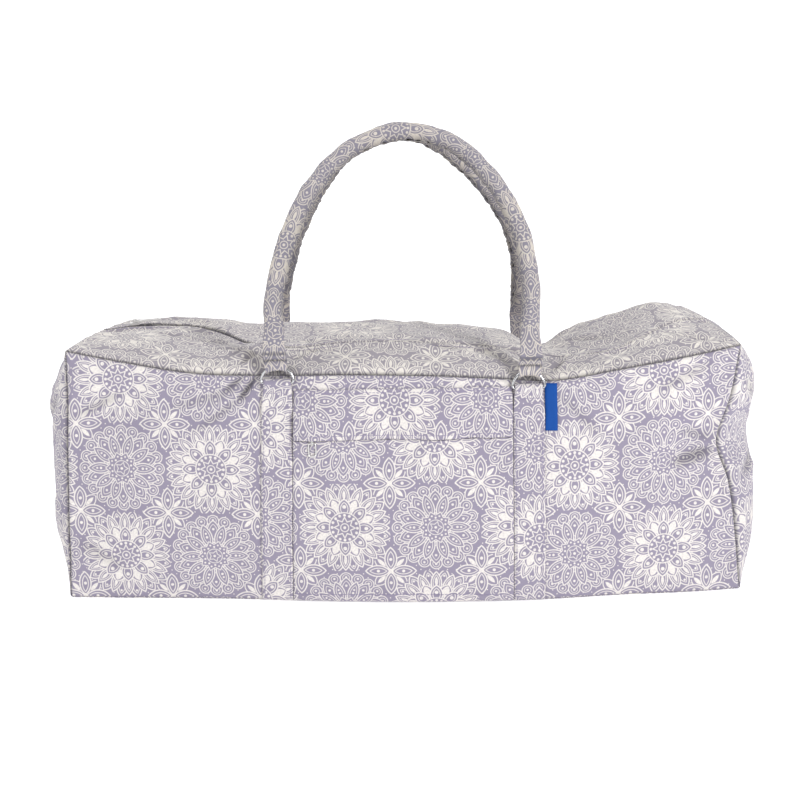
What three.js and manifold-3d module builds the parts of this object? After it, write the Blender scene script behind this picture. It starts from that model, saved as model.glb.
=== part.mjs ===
// A filled cloth bag for a rolled exercise mat, standing on its flat base.
// X runs along the bag, Y from its front to its back, Z up. The origin is the middle of the base.
// Units are millimetres.

import * as THREE from 'three';
import Module from 'manifold-3d';

const wasm = await Module();
wasm.setup();

// Body
const LENGTH = 654;
const DEPTH = 212;
const HEIGHT = 242;
const WALL = 2;
const LEFT_END_BULGE = 28;
const RIGHT_END_BULGE = 35;
const CROWN_POWER = 3;
const END_REACH_POWER = 4;
const END_TOP_BIAS = 0.25;

// Clearances between pieces that lie on or beside each other
const SEAM_GAP = 0.3;
const LAYER_GAP = 0.3;

// Zip along the top
const SLOT_WIDTH = 12;
const TAPE_THICKNESS = 1.2;
const TAPE_DROP = 0.8;
const CHAIN_WIDTH = 4.6;
const CHAIN_RISE = 1.4;
const CHAIN_SLOPE = 0.3;
const MAIN_SLIDER_ALONG = -0.86;

// Sewn bands with ring loops
const STRAP_WIDTH = 30;
const STRAP_THICKNESS = 1.5;
const STRAP_FOLD = 24;
const STRAP_LOOP_WIDTH = 26;
const STRAP_END_LAP = 2;
const STRAP_RAMP = 6;

// Wire rings
const RING_RADIUS = 15.7;
const RING_WIRE = 2.6;
const RING_DROP = 7;
const RING_CLEARANCE = 1;
const RING_LEAN = 9;

// Handles
const HANDLE_DIAMETER = 17.5;
const HANDLE_RISE = 196.5;
const HANDLE_END_LENGTH = 54;
const HANDLE_CLOTH = 1.5;
const HANDLE_LOOP_WIDTH = 20;
const HANDLE_FOLD = 14;
const HANDLE_LOOP_CLEARANCE = 0.7;
const HANDLE_ROUNDING = 1.6;
const HANDLE_SQUAREST = 0.4;

// Outer pocket
const POCKET_THICKNESS = 1.5;
const POCKET_SPACE = 0.6;
const POCKET_FOOT = 6;
const FLAP_DROP = 35;
const FLAP_HEIGHT = 46;
const FLAP_THICKNESS = 1.2;
const POCKET_TAPE_HEIGHT = 13;
const POCKET_TAPE_THICKNESS = 1;
const POCKET_SLIDER_INSET = 18.3;

// Slider and pull tab
const SLIDER_LENGTH = 9;
const SLIDER_WIDTH = 8;
const SLIDER_HEIGHT = 2.4;
const BRIDGE_WIDTH = 2.4;
const BRIDGE_WALL = 1.1;
const TONGUE_OVERLAP = 1;
const TONGUE_DROP = 0.36;
const TAB_THICKNESS = 1.2;
const TAB_WIDTH = 8;
const TAB_CORNER = 1.5;
const TAB_FRAME = 2;
const MAIN_TAB_LENGTH = 26;
const POCKET_TAB_LENGTH = 13;
const PIN_CLEARANCE = 0.5;

// Side label and the small loop on the right end
const LABEL_WIDTH = 11.7;
const LABEL_HEIGHT = 43;
const LABEL_THICKNESS = 1.2;
const LABEL_DROP = 3;
const TAB_LOOP_WIDTH = 12;
const TAB_LOOP_HEIGHT = 17;
const TAB_LOOP_RISE = 3.2;
const TAB_LOOP_THICKNESS = 1.4;
const TAB_LOOP_DROP = 84;

// Fineness of the faceted cloth: shares of the half length and half height, then longest steps
const ALONG_STEP = 0.08;
const UP_STEP = 0.27;
const STRAP_STEP = 22;
const POCKET_STEP = 30;
const FLAP_STEP = 12;
const LABEL_STEP = 15;
const CLOTH_STEP = 26;
const TURN_STEPS = 6;
const HANDLE_SIDES = 10;
const HANDLE_STEPS = 34;
const WIRE_SIDES = 6;
const ARC_STEPS = 12;
const BAR_STEPS = 2;
const HEIGHT_ROUNDS = 6;

const HALF_LENGTH = LENGTH / 2;
const HALF_DEPTH = DEPTH / 2;
const HANDLE_TOP = HEIGHT + HANDLE_RISE;
const FLAP_TOP = HEIGHT - FLAP_DROP;
const FLAP_EDGE = FLAP_TOP - FLAP_HEIGHT;
const TAB_LOOP_MIDDLE = HEIGHT - TAB_LOOP_DROP;

// Sections along the bag. along and zip are shares of the half length and half depth.
// The foot, belly and rim columns are the half depth at the base, at mid height and at the top seam.
// The seam columns are the heights of the two top seams, and crown is the rise between them.
const SECTIONS = [
  { along: -1.00, frontFoot: 1.00, frontBelly: 1.02, frontRim: 1.00, backFoot: 1.00, backBelly: 1.03,
    backRim: 1.00, frontSeam: 1.016, backSeam: 0.980, crown: 0.012, zip: 0.06 },
  { along: -0.83, frontFoot: 1.05, frontBelly: 1.09, frontRim: 1.04, backFoot: 1.05, backBelly: 1.10,
    backRim: 1.04, frontSeam: 0.973, backSeam: 0.972, crown: 0.050, zip: 0.12 },
  { along: -0.60, frontFoot: 1.10, frontBelly: 1.18, frontRim: 1.09, backFoot: 1.10, backBelly: 1.19,
    backRim: 1.08, frontSeam: 0.926, backSeam: 0.940, crown: 0.078, zip: 0.06 },
  { along: -0.37, frontFoot: 1.18, frontBelly: 1.26, frontRim: 1.12, backFoot: 1.16, backBelly: 1.26,
    backRim: 1.11, frontSeam: 0.915, backSeam: 0.905, crown: 0.098, zip: -0.56 },
  { along: -0.18, frontFoot: 1.25, frontBelly: 1.31, frontRim: 1.13, backFoot: 1.20, backBelly: 1.30,
    backRim: 1.12, frontSeam: 0.914, backSeam: 0.905, crown: 0.096, zip: -0.52 },
  { along: 0.06, frontFoot: 1.30, frontBelly: 1.34, frontRim: 1.14, backFoot: 1.22, backBelly: 1.32,
    backRim: 1.12, frontSeam: 0.906, backSeam: 0.900, crown: 0.092, zip: -0.48 },
  { along: 0.26, frontFoot: 1.30, frontBelly: 1.33, frontRim: 1.13, backFoot: 1.21, backBelly: 1.31,
    backRim: 1.11, frontSeam: 0.890, backSeam: 0.884, crown: 0.082, zip: -0.46 },
  { along: 0.43, frontFoot: 1.28, frontBelly: 1.30, frontRim: 1.11, backFoot: 1.18, backBelly: 1.27,
    backRim: 1.09, frontSeam: 0.876, backSeam: 0.872, crown: 0.062, zip: -0.48 },
  { along: 0.62, frontFoot: 1.20, frontBelly: 1.22, frontRim: 1.09, backFoot: 1.13, backBelly: 1.20,
    backRim: 1.07, frontSeam: 0.912, backSeam: 0.925, crown: 0.066, zip: -0.60 },
  { along: 0.83, frontFoot: 1.15, frontBelly: 1.14, frontRim: 1.04, backFoot: 1.07, backBelly: 1.11,
    backRim: 1.03, frontSeam: 0.955, backSeam: 0.992, crown: 0.060, zip: -0.28 },
  { along: 1.00, frontFoot: 1.07, frontBelly: 1.03, frontRim: 1.00, backFoot: 1.01, backBelly: 1.03,
    backRim: 1.00, frontSeam: 0.996, backSeam: 1.006, crown: 0.012, zip: 0.06 },
];

// The four upright end seams, by height. The columns are shares of the half length.
const END_SEAMS = [
  { up: 0.00, leftFront: 1.006, leftBack: 0.975, rightFront: 0.990, rightBack: 0.975 },
  { up: 0.22, leftFront: 1.002, leftBack: 0.962, rightFront: 0.978, rightBack: 0.962 },
  { up: 0.44, leftFront: 0.995, leftBack: 0.945, rightFront: 0.956, rightBack: 0.948 },
  { up: 0.61, leftFront: 0.990, leftBack: 0.932, rightFront: 0.922, rightBack: 0.938 },
  { up: 0.80, leftFront: 0.982, leftBack: 0.912, rightFront: 0.957, rightBack: 0.926 },
  { up: 1.00, leftFront: 0.979, leftBack: 0.890, rightFront: 0.980, rightBack: 0.910 },
];

// Dents and folds. a, b and c place the middle from -1 to 1 along, across and up the bag,
// the reach columns are how far it spreads the same way, and depth is a share of HEIGHT along the axis.
const DENTS = [
  { axis: 'z', a: 0.43, b: 0.80, c: 1.0, reachA: 0.085, reachB: 0.75, reachC: 0.9, depth: -0.062 },
  { axis: 'z', a: 0.58, b: -0.30, c: 1.0, reachA: 0.15, reachB: 0.32, reachC: 0.6, depth: -0.036 },
  { axis: 'z', a: -0.44, b: -0.25, c: 1.0, reachA: 0.20, reachB: 0.32, reachC: 0.6, depth: -0.030 },
  { axis: 'z', a: -0.72, b: 0.45, c: 1.0, reachA: 0.14, reachB: 0.40, reachC: 0.6, depth: 0.006 },
  { axis: 'z', a: 0.80, b: 0.40, c: 1.0, reachA: 0.12, reachB: 0.50, reachC: 0.6, depth: 0.018 },
  { axis: 'y', a: 0.86, b: -1.0, c: 0.15, reachA: 0.10, reachB: 0.8, reachC: 0.32, depth: 0.026 },
  { axis: 'y', a: -0.86, b: -1.0, c: 0.55, reachA: 0.12, reachB: 0.8, reachC: 0.35, depth: 0.016 },
  { axis: 'y', a: -0.62, b: -1.0, c: -0.45, reachA: 0.16, reachB: 0.8, reachC: 0.40, depth: -0.012 },
  { axis: 'x', a: -1.0, b: -0.35, c: -0.68, reachA: 0.5, reachB: 0.60, reachC: 0.14, depth: 0.018 },
  { axis: 'x', a: 1.0, b: -0.75, c: 0.25, reachA: 0.5, reachB: 0.30, reachC: 0.20, depth: -0.016 },
];

// Sewn bands: where their middles stand at the base and at the top seam, as shares of the half length
const STRAPS = [
  { name: 'front_left', side: -1, foot: -0.381, top: -0.3624 },
  { name: 'front_right', side: -1, foot: 0.358, top: 0.3593 },
  { name: 'back_left', side: 1, foot: -0.379, top: -0.379 },
  { name: 'back_right', side: 1, foot: 0.364, top: 0.364 },
];

// Middle lines of the two handles above their flat ends. front and back are shares of half the
// spacing of their bands, up a share of the rise from the top of the flat ends to the top of the arch.
const HANDLE_ARCH = [
  { front: -1.000, back: -1.041, up: 0.05 },
  { front: -1.032, back: -1.007, up: 0.15 },
  { front: -1.002, back: -0.948, up: 0.29 },
  { front: -0.943, back: -0.870, up: 0.44 },
  { front: -0.788, back: -0.698, up: 0.66 },
  { front: -0.518, back: -0.462, up: 0.867 },
  { front: -0.225, back: -0.180, up: 0.97 },
  { front: 0.093, back: 0.050, up: 1.00 },
  { front: 0.462, back: 0.343, up: 0.934 },
  { front: 0.765, back: 0.674, up: 0.757 },
  { front: 0.971, back: 0.934, up: 0.53 },
  { front: 1.032, back: 1.034, up: 0.35 },
  { front: 1.038, back: 1.050, up: 0.20 },
  { front: 1.020, back: 1.053, up: 0.05 },
];

// Flat end of a handle above its loop. rise is a share of the end's length above the ring's wire,
// and the others are shares of the tube's diameter. offset moves the middle away from the bag.
const HANDLE_END = [
  { rise: 0.11, offset: 0.03, frontWidth: 1.26, backWidth: 1.14, thickness: 0.14 },
  { rise: 0.26, offset: 0.035, frontWidth: 1.43, backWidth: 1.12, thickness: 0.18 },
  { rise: 0.44, offset: 0.02, frontWidth: 1.43, backWidth: 1.08, thickness: 0.26 },
  { rise: 0.70, offset: 0, frontWidth: 1.20, backWidth: 1.00, thickness: 0.63 },
  { rise: 1.00, offset: 0, frontWidth: 1.00, backWidth: 1.00, thickness: 1.00 },
];
const FLAT_ROWS = 3;

// Places across one half of the top, as shares of the way from its seam to the zip slot
const ACROSS_SHARES = [0, 0.12, 0.28, 0.48, 0.72, 1];

// Smooth value of one column of a table at a place along its key column
function column(rows, key, at, name) {
  const last = rows.length - 1;
  let i = 0;
  while (i < last - 1 && at > rows[i + 1][key]) i += 1;
  const slope = (j) => {
    const before = rows[Math.max(j - 1, 0)];
    const after = rows[Math.min(j + 1, last)];
    return (after[name] - before[name]) / (after[key] - before[key]);
  };
  const from = rows[i];
  const to = rows[i + 1];
  const span = to[key] - from[key];
  const t = THREE.MathUtils.clamp((at - from[key]) / span, 0, 1);
  const t2 = t * t;
  const t3 = t2 * t;
  return (2 * t3 - 3 * t2 + 1) * from[name] + (t3 - 2 * t2 + t) * span * slope(i)
    + (3 * t2 - 2 * t3) * to[name] + (t3 - t2) * span * slope(i + 1);
}

// Value at t from -1 to 1 of the parabola through three values at -1, 0 and 1
function throughThree(low, middle, high, t) {
  return low * t * (t - 1) / 2 + middle * (1 - t * t) + high * t * (t + 1) / 2;
}

function seamHeight(a, side) {
  return HEIGHT * column(SECTIONS, 'along', a, side < 0 ? 'frontSeam' : 'backSeam');
}

function endReach(a, b, up) {
  const left = THREE.MathUtils.lerp(
    column(END_SEAMS, 'up', up, 'leftFront'), column(END_SEAMS, 'up', up, 'leftBack'), (b + 1) / 2);
  const right = THREE.MathUtils.lerp(
    column(END_SEAMS, 'up', up, 'rightFront'), column(END_SEAMS, 'up', up, 'rightBack'), (b + 1) / 2);
  const reach = a < 0 ? left : right;
  return 1 + (reach - 1) * Math.abs(a) ** END_REACH_POWER;
}

// Outer surface of the bag: a, b and c run from -1 to 1 along, across and up it
function bodyPoint(a, b, c) {
  const row = (name) => column(SECTIONS, 'along', a, name);
  const up = (c + 1) / 2;
  const front = HALF_DEPTH * throughThree(row('frontFoot'), row('frontBelly'), row('frontRim'), c);
  const back = HALF_DEPTH * throughThree(row('backFoot'), row('backBelly'), row('backRim'), c);
  const y = THREE.MathUtils.lerp(-front, back, (b + 1) / 2);
  const crown = HEIGHT * row('crown') * (1 - Math.abs(b) ** CROWN_POWER);
  const roof = THREE.MathUtils.lerp(seamHeight(a, -1), seamHeight(a, 1), (b + 1) / 2) + crown;
  const spread = (1 - b ** 4) * (1 - c ** 4) * (1 + END_TOP_BIAS * c);
  const bulge = spread * (a < 0 ? -LEFT_END_BULGE : RIGHT_END_BULGE);
  const x = HALF_LENGTH * a * endReach(a, b, up) + bulge * Math.abs(a) ** END_REACH_POWER;
  const point = new THREE.Vector3(x, y, roof * up);
  for (const dent of DENTS) {
    const away = ((a - dent.a) / dent.reachA) ** 2 + ((b - dent.b) / dent.reachB) ** 2
      + ((c - dent.c) / dent.reachC) ** 2;
    const flatBase = 1 - Math.max(0, -c) ** 2;
    point[dent.axis] += HEIGHT * dent.depth * Math.exp(-away) * flatBase;
  }
  return point;
}

// A point moved into the bag by a thickness, the same for both panels that share a seam
function sunk(a, b, c, thickness) {
  return bodyPoint(a, b, c).addScaledVector(new THREE.Vector3(-a, -b, -c), thickness);
}

// Places along a run, with the given breaks and steps no longer than the limit
function stations(breaks, limit) {
  const places = [breaks[0]];
  for (let i = 1; i < breaks.length; i += 1) {
    const steps = Math.max(1, Math.ceil((breaks[i] - breaks[i - 1]) / limit - 1e-6));
    for (let k = 1; k <= steps; k += 1) {
      places.push(THREE.MathUtils.lerp(breaks[i - 1], breaks[i], k / steps));
    }
  }
  return places;
}

function triangles(positions, faces) {
  const geometry = new THREE.BufferGeometry();
  geometry.setAttribute('position', new THREE.Float32BufferAttribute(positions, 3));
  geometry.setIndex(faces);
  geometry.computeVertexNormals();
  return geometry;
}

function signedVolume(points, faces) {
  let sum = 0;
  for (let i = 0; i < faces.length; i += 3) {
    const [p, q, r] = [points[faces[i]], points[faces[i + 1]], points[faces[i + 2]]];
    sum += p.dot(new THREE.Vector3().crossVectors(q, r));
  }
  return sum;
}

// A closed mesh from points and faces, turned so that its faces point out
function closedMesh(points, faces) {
  const turned = signedVolume(points, faces) < 0;
  const index = [];
  for (let i = 0; i < faces.length; i += 3) {
    index.push(faces[i], faces[i + (turned ? 2 : 1)], faces[i + (turned ? 1 : 2)]);
  }
  return triangles(points.flatMap((p) => p.toArray()), index);
}

// A sheet with thickness: outer and inner are grids of points with as many rows and columns
function shell(outer, inner) {
  const rows = outer.length;
  const columns = outer[0].length;
  const points = [...outer.flat(), ...inner.flat()];
  const half = rows * columns;
  const at = (i, j, side) => side * half + i * columns + j;
  const faces = [];
  for (let i = 0; i < rows - 1; i += 1) {
    for (let j = 0; j < columns - 1; j += 1) {
      faces.push(at(i, j, 0), at(i, j + 1, 0), at(i + 1, j + 1, 0));
      faces.push(at(i, j, 0), at(i + 1, j + 1, 0), at(i + 1, j, 0));
      faces.push(at(i, j, 1), at(i + 1, j + 1, 1), at(i, j + 1, 1));
      faces.push(at(i, j, 1), at(i + 1, j, 1), at(i + 1, j + 1, 1));
    }
  }
  const rim = [];
  for (let j = 0; j < columns - 1; j += 1) rim.push([0, j]);
  for (let i = 0; i < rows - 1; i += 1) rim.push([i, columns - 1]);
  for (let j = columns - 1; j > 0; j -= 1) rim.push([rows - 1, j]);
  for (let i = rows - 1; i > 0; i -= 1) rim.push([i, 0]);
  rim.forEach(([i, j], k) => {
    const [m, n] = rim[(k + 1) % rim.length];
    faces.push(at(i, j, 0), at(i, j, 1), at(m, n, 1));
    faces.push(at(i, j, 0), at(m, n, 1), at(m, n, 0));
  });
  return closedMesh(points, faces);
}

// A body through loops of points, closed into a ring or capped at both ends
function loft(loops, ring = false) {
  const sides = loops[0].length;
  const points = loops.flat();
  const faces = [];
  const count = ring ? loops.length : loops.length - 1;
  for (let i = 0; i < count; i += 1) {
    const next = (i + 1) % loops.length;
    for (let j = 0; j < sides; j += 1) {
      const k = (j + 1) % sides;
      faces.push(i * sides + j, i * sides + k, next * sides + k);
      faces.push(i * sides + j, next * sides + k, next * sides + j);
    }
  }
  if (!ring) {
    const end = (loops.length - 1) * sides;
    for (let j = 1; j < sides - 1; j += 1) {
      faces.push(0, j + 1, j);
      faces.push(end, end + j, end + j + 1);
    }
  }
  return closedMesh(points, faces);
}

function grid(rows, columns, pointAt) {
  return rows.map((row) => columns.map((col) => pointAt(row, col)));
}

// Materials
const cloth = new THREE.MeshStandardMaterial({ color: 0xa59fbe, roughness: 0.9, metalness: 0 });
const metal = new THREE.MeshStandardMaterial({ color: 0xc9c9cc, roughness: 0.25, metalness: 1 });
const zipCloth = new THREE.MeshStandardMaterial({ color: 0x8d88a3, roughness: 0.8, metalness: 0 });
const labelCloth = new THREE.MeshStandardMaterial({ color: 0x1e5faf, roughness: 0.6, metalness: 0 });

const bag = new THREE.Group();

function add(name, geometry, material) {
  const mesh = new THREE.Mesh(geometry, material);
  mesh.name = name;
  bag.add(mesh);
  return mesh;
}

// Grid lines of the body
const SEAM_PULL = SEAM_GAP / Math.SQRT2;
const pullA = SEAM_PULL / HALF_LENGTH;
const pullB = SEAM_PULL / HALF_DEPTH;
const pullC = 2 * SEAM_PULL / HEIGHT;
function strapMiddle(strap, height) {
  const share = height / seamHeight(strap.top, strap.side);
  return HALF_LENGTH * THREE.MathUtils.lerp(strap.foot, strap.top, share);
}
const strapEdges = STRAPS.slice(0, 2).flatMap((strap) => [
  strap.top - STRAP_WIDTH / LENGTH, strap.top + STRAP_WIDTH / LENGTH]);
const flapBreaks = [FLAP_EDGE, FLAP_TOP].map((z) => 2 * z / seamHeight(0, -1) - 1);

const alongPlaces = stations([-1 + pullA, ...strapEdges, 1 - pullA], ALONG_STEP);
const upPlaces = stations([-1 + pullC, ...flapBreaks, 1 - pullC], UP_STEP);

// Half width of the zip slot, and the places across the top on both sides of it
const slotHalf = SLOT_WIDTH / DEPTH;
function zipLine(a) {
  return column(SECTIONS, 'along', a, 'zip');
}
function halfPlaces(a, side) {
  const seam = side * (1 - pullB);
  const slot = zipLine(a) + side * slotHalf;
  return ACROSS_SHARES.map((share) => THREE.MathUtils.lerp(seam, slot, share));
}
function acrossPlaces(a) {
  return [...halfPlaces(a, -1), ...halfPlaces(a, 1).reverse()];
}

// Front and back walls
for (const [name, side] of [['front_panel', -1], ['back_panel', 1]]) {
  add(name, shell(
    grid(upPlaces, alongPlaces, (c, a) => bodyPoint(a, side, c)),
    grid(upPlaces, alongPlaces, (c, a) => sunk(a, side, c, WALL))), cloth);
}

// Base
const basePlaces = acrossPlaces(1);
add('base_panel', shell(
  grid(basePlaces, alongPlaces, (b, a) => bodyPoint(a, b, -1)),
  grid(basePlaces, alongPlaces, (b, a) => sunk(a, b, -1, WALL))), cloth);

// Ends
for (const [name, side] of [['end_panel_left', -1], ['end_panel_right', 1]]) {
  add(name, shell(
    grid(upPlaces, acrossPlaces(side), (c, b) => bodyPoint(side, b, c)),
    grid(upPlaces, acrossPlaces(side), (c, b) => sunk(side, b, c, WALL))), cloth);
}

// Top, in two halves on either side of the zip slot
for (const [name, side] of [['top_panel_front', -1], ['top_panel_back', 1]]) {
  const rows = [...ACROSS_SHARES.keys()];
  add(name, shell(
    grid(rows, alongPlaces, (i, a) => bodyPoint(a, halfPlaces(a, side)[i], 1)),
    grid(rows, alongPlaces, (i, a) => sunk(a, halfPlaces(a, side)[i], 1, WALL))), cloth);
}

// Closed zip between the halves, with its raised chain along the middle
const tapeHalf = SLOT_WIDTH / 2 - SEAM_GAP;
const chainHalf = CHAIN_WIDTH / 2;
const chainFoot = chainHalf + CHAIN_SLOPE;
const TAPE_PROFILE = [
  { across: -tapeHalf, rise: 0 },
  { across: -chainFoot, rise: 0 },
  { across: -chainHalf, rise: CHAIN_RISE },
  { across: chainHalf, rise: CHAIN_RISE },
  { across: chainFoot, rise: 0 },
  { across: tapeHalf, rise: 0 },
];
function tapePoint(a, across, rise) {
  return sunk(a, zipLine(a) + across / HALF_DEPTH, 1, TAPE_DROP - rise);
}
const tapeEnd = 1 - (WALL + 2 * SEAM_GAP) / HALF_LENGTH;
const tapePlaces = [-tapeEnd, ...alongPlaces.slice(1, -1), tapeEnd];
add('main_zip_tape', shell(
  grid(TAPE_PROFILE, tapePlaces, (row, a) => tapePoint(a, row.across, row.rise)),
  grid(TAPE_PROFILE, tapePlaces, (row, a) => tapePoint(a, row.across, -TAPE_THICKNESS))), zipCloth);

// A point off the front or back wall, at a height and a distance from the cloth
function offWall(side, x, height, offset) {
  const a = x / HALF_LENGTH;
  let c = 2 * height / seamHeight(a, side) - 1;
  let point = bodyPoint(a, side, c);
  for (let k = 0; k < HEIGHT_ROUNDS; k += 1) {
    c += 2 * (height - point.z) / HEIGHT;
    point = bodyPoint(a, side, c);
  }
  point.y += side * offset;
  return point;
}
function rimHeight(x, side) {
  return bodyPoint(x / HALF_LENGTH, side, 1).z;
}

// Ring places: the straight bar of each ring lies a little below the top seam
const BAR_OFFSET = LAYER_GAP + STRAP_THICKNESS + RING_CLEARANCE + RING_WIRE / 2;
function ringFrame({ side, top }) {
  const x = HALF_LENGTH * top;
  const height = rimHeight(x, side) - RING_DROP;
  const bar = offWall(side, x, height, BAR_OFFSET);
  const [low, high] = [-1, 1].map((end) => offWall(side, x + end * STRAP_LOOP_WIDTH / 2, height, 0));
  const across = high.sub(low).setZ(0).normalize();
  const away = new THREE.Vector3(-across.y, across.x, 0).multiplyScalar(side);
  const lean = THREE.MathUtils.degToRad(RING_LEAN);
  const upright = new THREE.Vector3(0, 0, 1);
  const up = upright.clone().multiplyScalar(Math.cos(lean)).addScaledVector(away, -Math.sin(lean));
  const out = away.clone().multiplyScalar(Math.cos(lean)).addScaledVector(upright, Math.sin(lean));
  return { bar, across, up, out, height };
}

// Sewn band: a strip up the wall that turns round the ring's bar and is folded back behind itself
const turnRadius = RING_WIRE / 2 + RING_CLEARANCE + STRAP_THICKNESS / 2;
const layerOne = LAYER_GAP + STRAP_THICKNESS / 2;
const layerTwo = layerOne + STRAP_THICKNESS + LAYER_GAP;
function strapPath(barHeight) {
  const path = [];
  const rampTop = barHeight - STRAP_FOLD - STRAP_END_LAP;
  for (const height of stations([2 * WALL, rampTop - STRAP_RAMP], STRAP_STEP)) {
    path.push(new THREE.Vector2(layerOne, height));
  }
  path.push(new THREE.Vector2(layerTwo, rampTop));
  path.push(new THREE.Vector2(layerTwo, barHeight - STRAP_FOLD / 2));
  for (let k = 0; k <= TURN_STEPS; k += 1) {
    const angle = Math.PI * k / TURN_STEPS;
    path.push(new THREE.Vector2(
      BAR_OFFSET + turnRadius * Math.cos(angle), barHeight + turnRadius * Math.sin(angle)));
  }
  path.push(new THREE.Vector2(layerOne, barHeight - STRAP_FOLD / 2));
  path.push(new THREE.Vector2(layerOne, barHeight - STRAP_FOLD));
  return path;
}

// Both sides of a strip with a middle line in a plane
function stripOutline(path, thickness) {
  const sides = [[], []];
  path.forEach((point, i) => {
    const before = path[Math.max(i - 1, 0)];
    const after = path[Math.min(i + 1, path.length - 1)];
    const along = after.clone().sub(before).normalize();
    const normal = new THREE.Vector2(-along.y, along.x).multiplyScalar(thickness / 2);
    sides[0].push(point.clone().add(normal));
    sides[1].push(point.clone().sub(normal));
  });
  return sides;
}
for (const strap of STRAPS) {
  const { height } = ringFrame(strap);
  const [left, right] = stripOutline(strapPath(height), STRAP_THICKNESS);
  const narrowing = (p) => THREE.MathUtils.clamp((p.y - height + STRAP_FOLD) / STRAP_FOLD, 0, 1);
  const widthAt = (p) => THREE.MathUtils.lerp(STRAP_WIDTH, STRAP_LOOP_WIDTH, narrowing(p));
  const stripPoint = (p, share) => offWall(
    strap.side, strapMiddle(strap, Math.min(p.y, height)) + share * widthAt(p) / 2, p.y, p.x);
  add(`strap_${strap.name}`, shell(
    grid(left, [-1, 0, 1], stripPoint), grid(right, [-1, 0, 1], stripPoint)), cloth);
}

// Wire rings: a half circle closed by a straight bar
function ringPath() {
  const path = [];
  for (let k = 0; k <= ARC_STEPS; k += 1) {
    const angle = Math.PI * k / ARC_STEPS;
    path.push(new THREE.Vector2(RING_RADIUS * Math.cos(angle), RING_RADIUS * Math.sin(angle)));
  }
  for (let k = 1; k < BAR_STEPS; k += 1) {
    path.push(new THREE.Vector2(RING_RADIUS * (2 * k / BAR_STEPS - 1), 0));
  }
  return path;
}
function ringGeometry(frame) {
  const path = ringPath();
  const loops = path.map((point, i) => {
    const before = path[(i + path.length - 1) % path.length];
    const after = path[(i + 1) % path.length];
    const along = after.clone().sub(before).normalize();
    const normal = new THREE.Vector2(along.y, -along.x);
    const middle = frame.bar.clone().addScaledVector(frame.up, point.y);
    middle.addScaledVector(frame.across, point.x);
    const loop = [];
    for (let k = 0; k < WIRE_SIDES; k += 1) {
      const angle = 2 * Math.PI * k / WIRE_SIDES;
      const inPlane = RING_WIRE / 2 * Math.cos(angle);
      const vertex = middle.clone().addScaledVector(frame.out, RING_WIRE / 2 * Math.sin(angle));
      vertex.addScaledVector(frame.across, normal.x * inPlane);
      vertex.addScaledVector(frame.up, normal.y * inPlane);
      loop.push(vertex);
    }
    return loop;
  });
  return loft(loops, true);
}

// How far the ring's wire lies below its top at a distance from its middle
function ringSag(x) {
  return RING_RADIUS - Math.sqrt(Math.max(0, RING_RADIUS ** 2 - x ** 2));
}

// Handle: a padded tube whose flat ends turn round the ring wires and are folded back
const loopRadius = RING_WIRE / 2 + HANDLE_LOOP_CLEARANCE + HANDLE_CLOTH / 2;
function handleWidth(sideOfBag) {
  return sideOfBag < 0 ? 'frontWidth' : 'backWidth';
}

function handleEnd(frame, turn, sideOfBag) {
  const place = (rise, offset) => {
    const point = frame.bar.clone().addScaledVector(frame.up, RING_RADIUS + rise);
    return point.addScaledVector(frame.out, offset);
  };
  const rows = [];
  for (const rise of stations([0, HANDLE_FOLD], HANDLE_FOLD / 2).reverse()) {
    rows.push({ point: place(rise, -loopRadius), width: HANDLE_LOOP_WIDTH, thickness: HANDLE_CLOTH, rise });
  }
  for (let k = 1; k <= TURN_STEPS; k += 1) {
    const angle = Math.PI * k / TURN_STEPS;
    const point = place(-loopRadius * Math.sin(angle), -loopRadius * Math.cos(angle));
    rows.push({ point, width: HANDLE_LOOP_WIDTH, thickness: HANDLE_CLOTH, rise: 0 });
  }
  for (const row of HANDLE_END.slice(0, FLAT_ROWS)) {
    const rise = HANDLE_END_LENGTH * row.rise;
    const point = place(rise, HANDLE_DIAMETER * row.offset);
    const width = HANDLE_DIAMETER * row[handleWidth(sideOfBag)];
    const thickness = HANDLE_DIAMETER * row.thickness;
    rows.push({ point, width, thickness, rise });
  }
  return rows.map((row) => ({ ...row, side: frame.across.clone().multiplyScalar(turn) }));
}

const handleApexY = HANDLE_DIAMETER / 2 + LAYER_GAP / 2;
function handleArch(feet, sideOfBag) {
  const points = HANDLE_ARCH.map((row) => {
    const share = ((sideOfBag < 0 ? row.front : row.back) + 1) / 2;
    const foot = feet[0].clone().lerp(feet[1], THREE.MathUtils.clamp(share, 0, 1));
    return new THREE.Vector3(
      THREE.MathUtils.lerp(feet[0].x, feet[1].x, share),
      THREE.MathUtils.lerp(foot.y, sideOfBag * handleApexY, row.up),
      THREE.MathUtils.lerp(foot.z, HANDLE_TOP, row.up));
  });
  return new THREE.CatmullRomCurve3(points).getSpacedPoints(HANDLE_STEPS);
}

function handleSection(point, side, normal, width, thickness, droop) {
  const flat = THREE.MathUtils.clamp(HANDLE_ROUNDING * thickness / width, HANDLE_SQUAREST, 1);
  const loop = [];
  for (let k = 0; k < HANDLE_SIDES; k += 1) {
    const angle = 2 * Math.PI * (k + 0.5) / HANDLE_SIDES;
    const across = width / 2 * Math.sign(Math.cos(angle)) * Math.abs(Math.cos(angle)) ** flat;
    const out = thickness / 2 * Math.sign(Math.sin(angle)) * Math.abs(Math.sin(angle)) ** flat;
    const vertex = point.clone().addScaledVector(side, across).addScaledVector(normal, out);
    vertex.z -= droop * ringSag(across);
    loop.push(vertex);
  }
  return loop;
}

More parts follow.
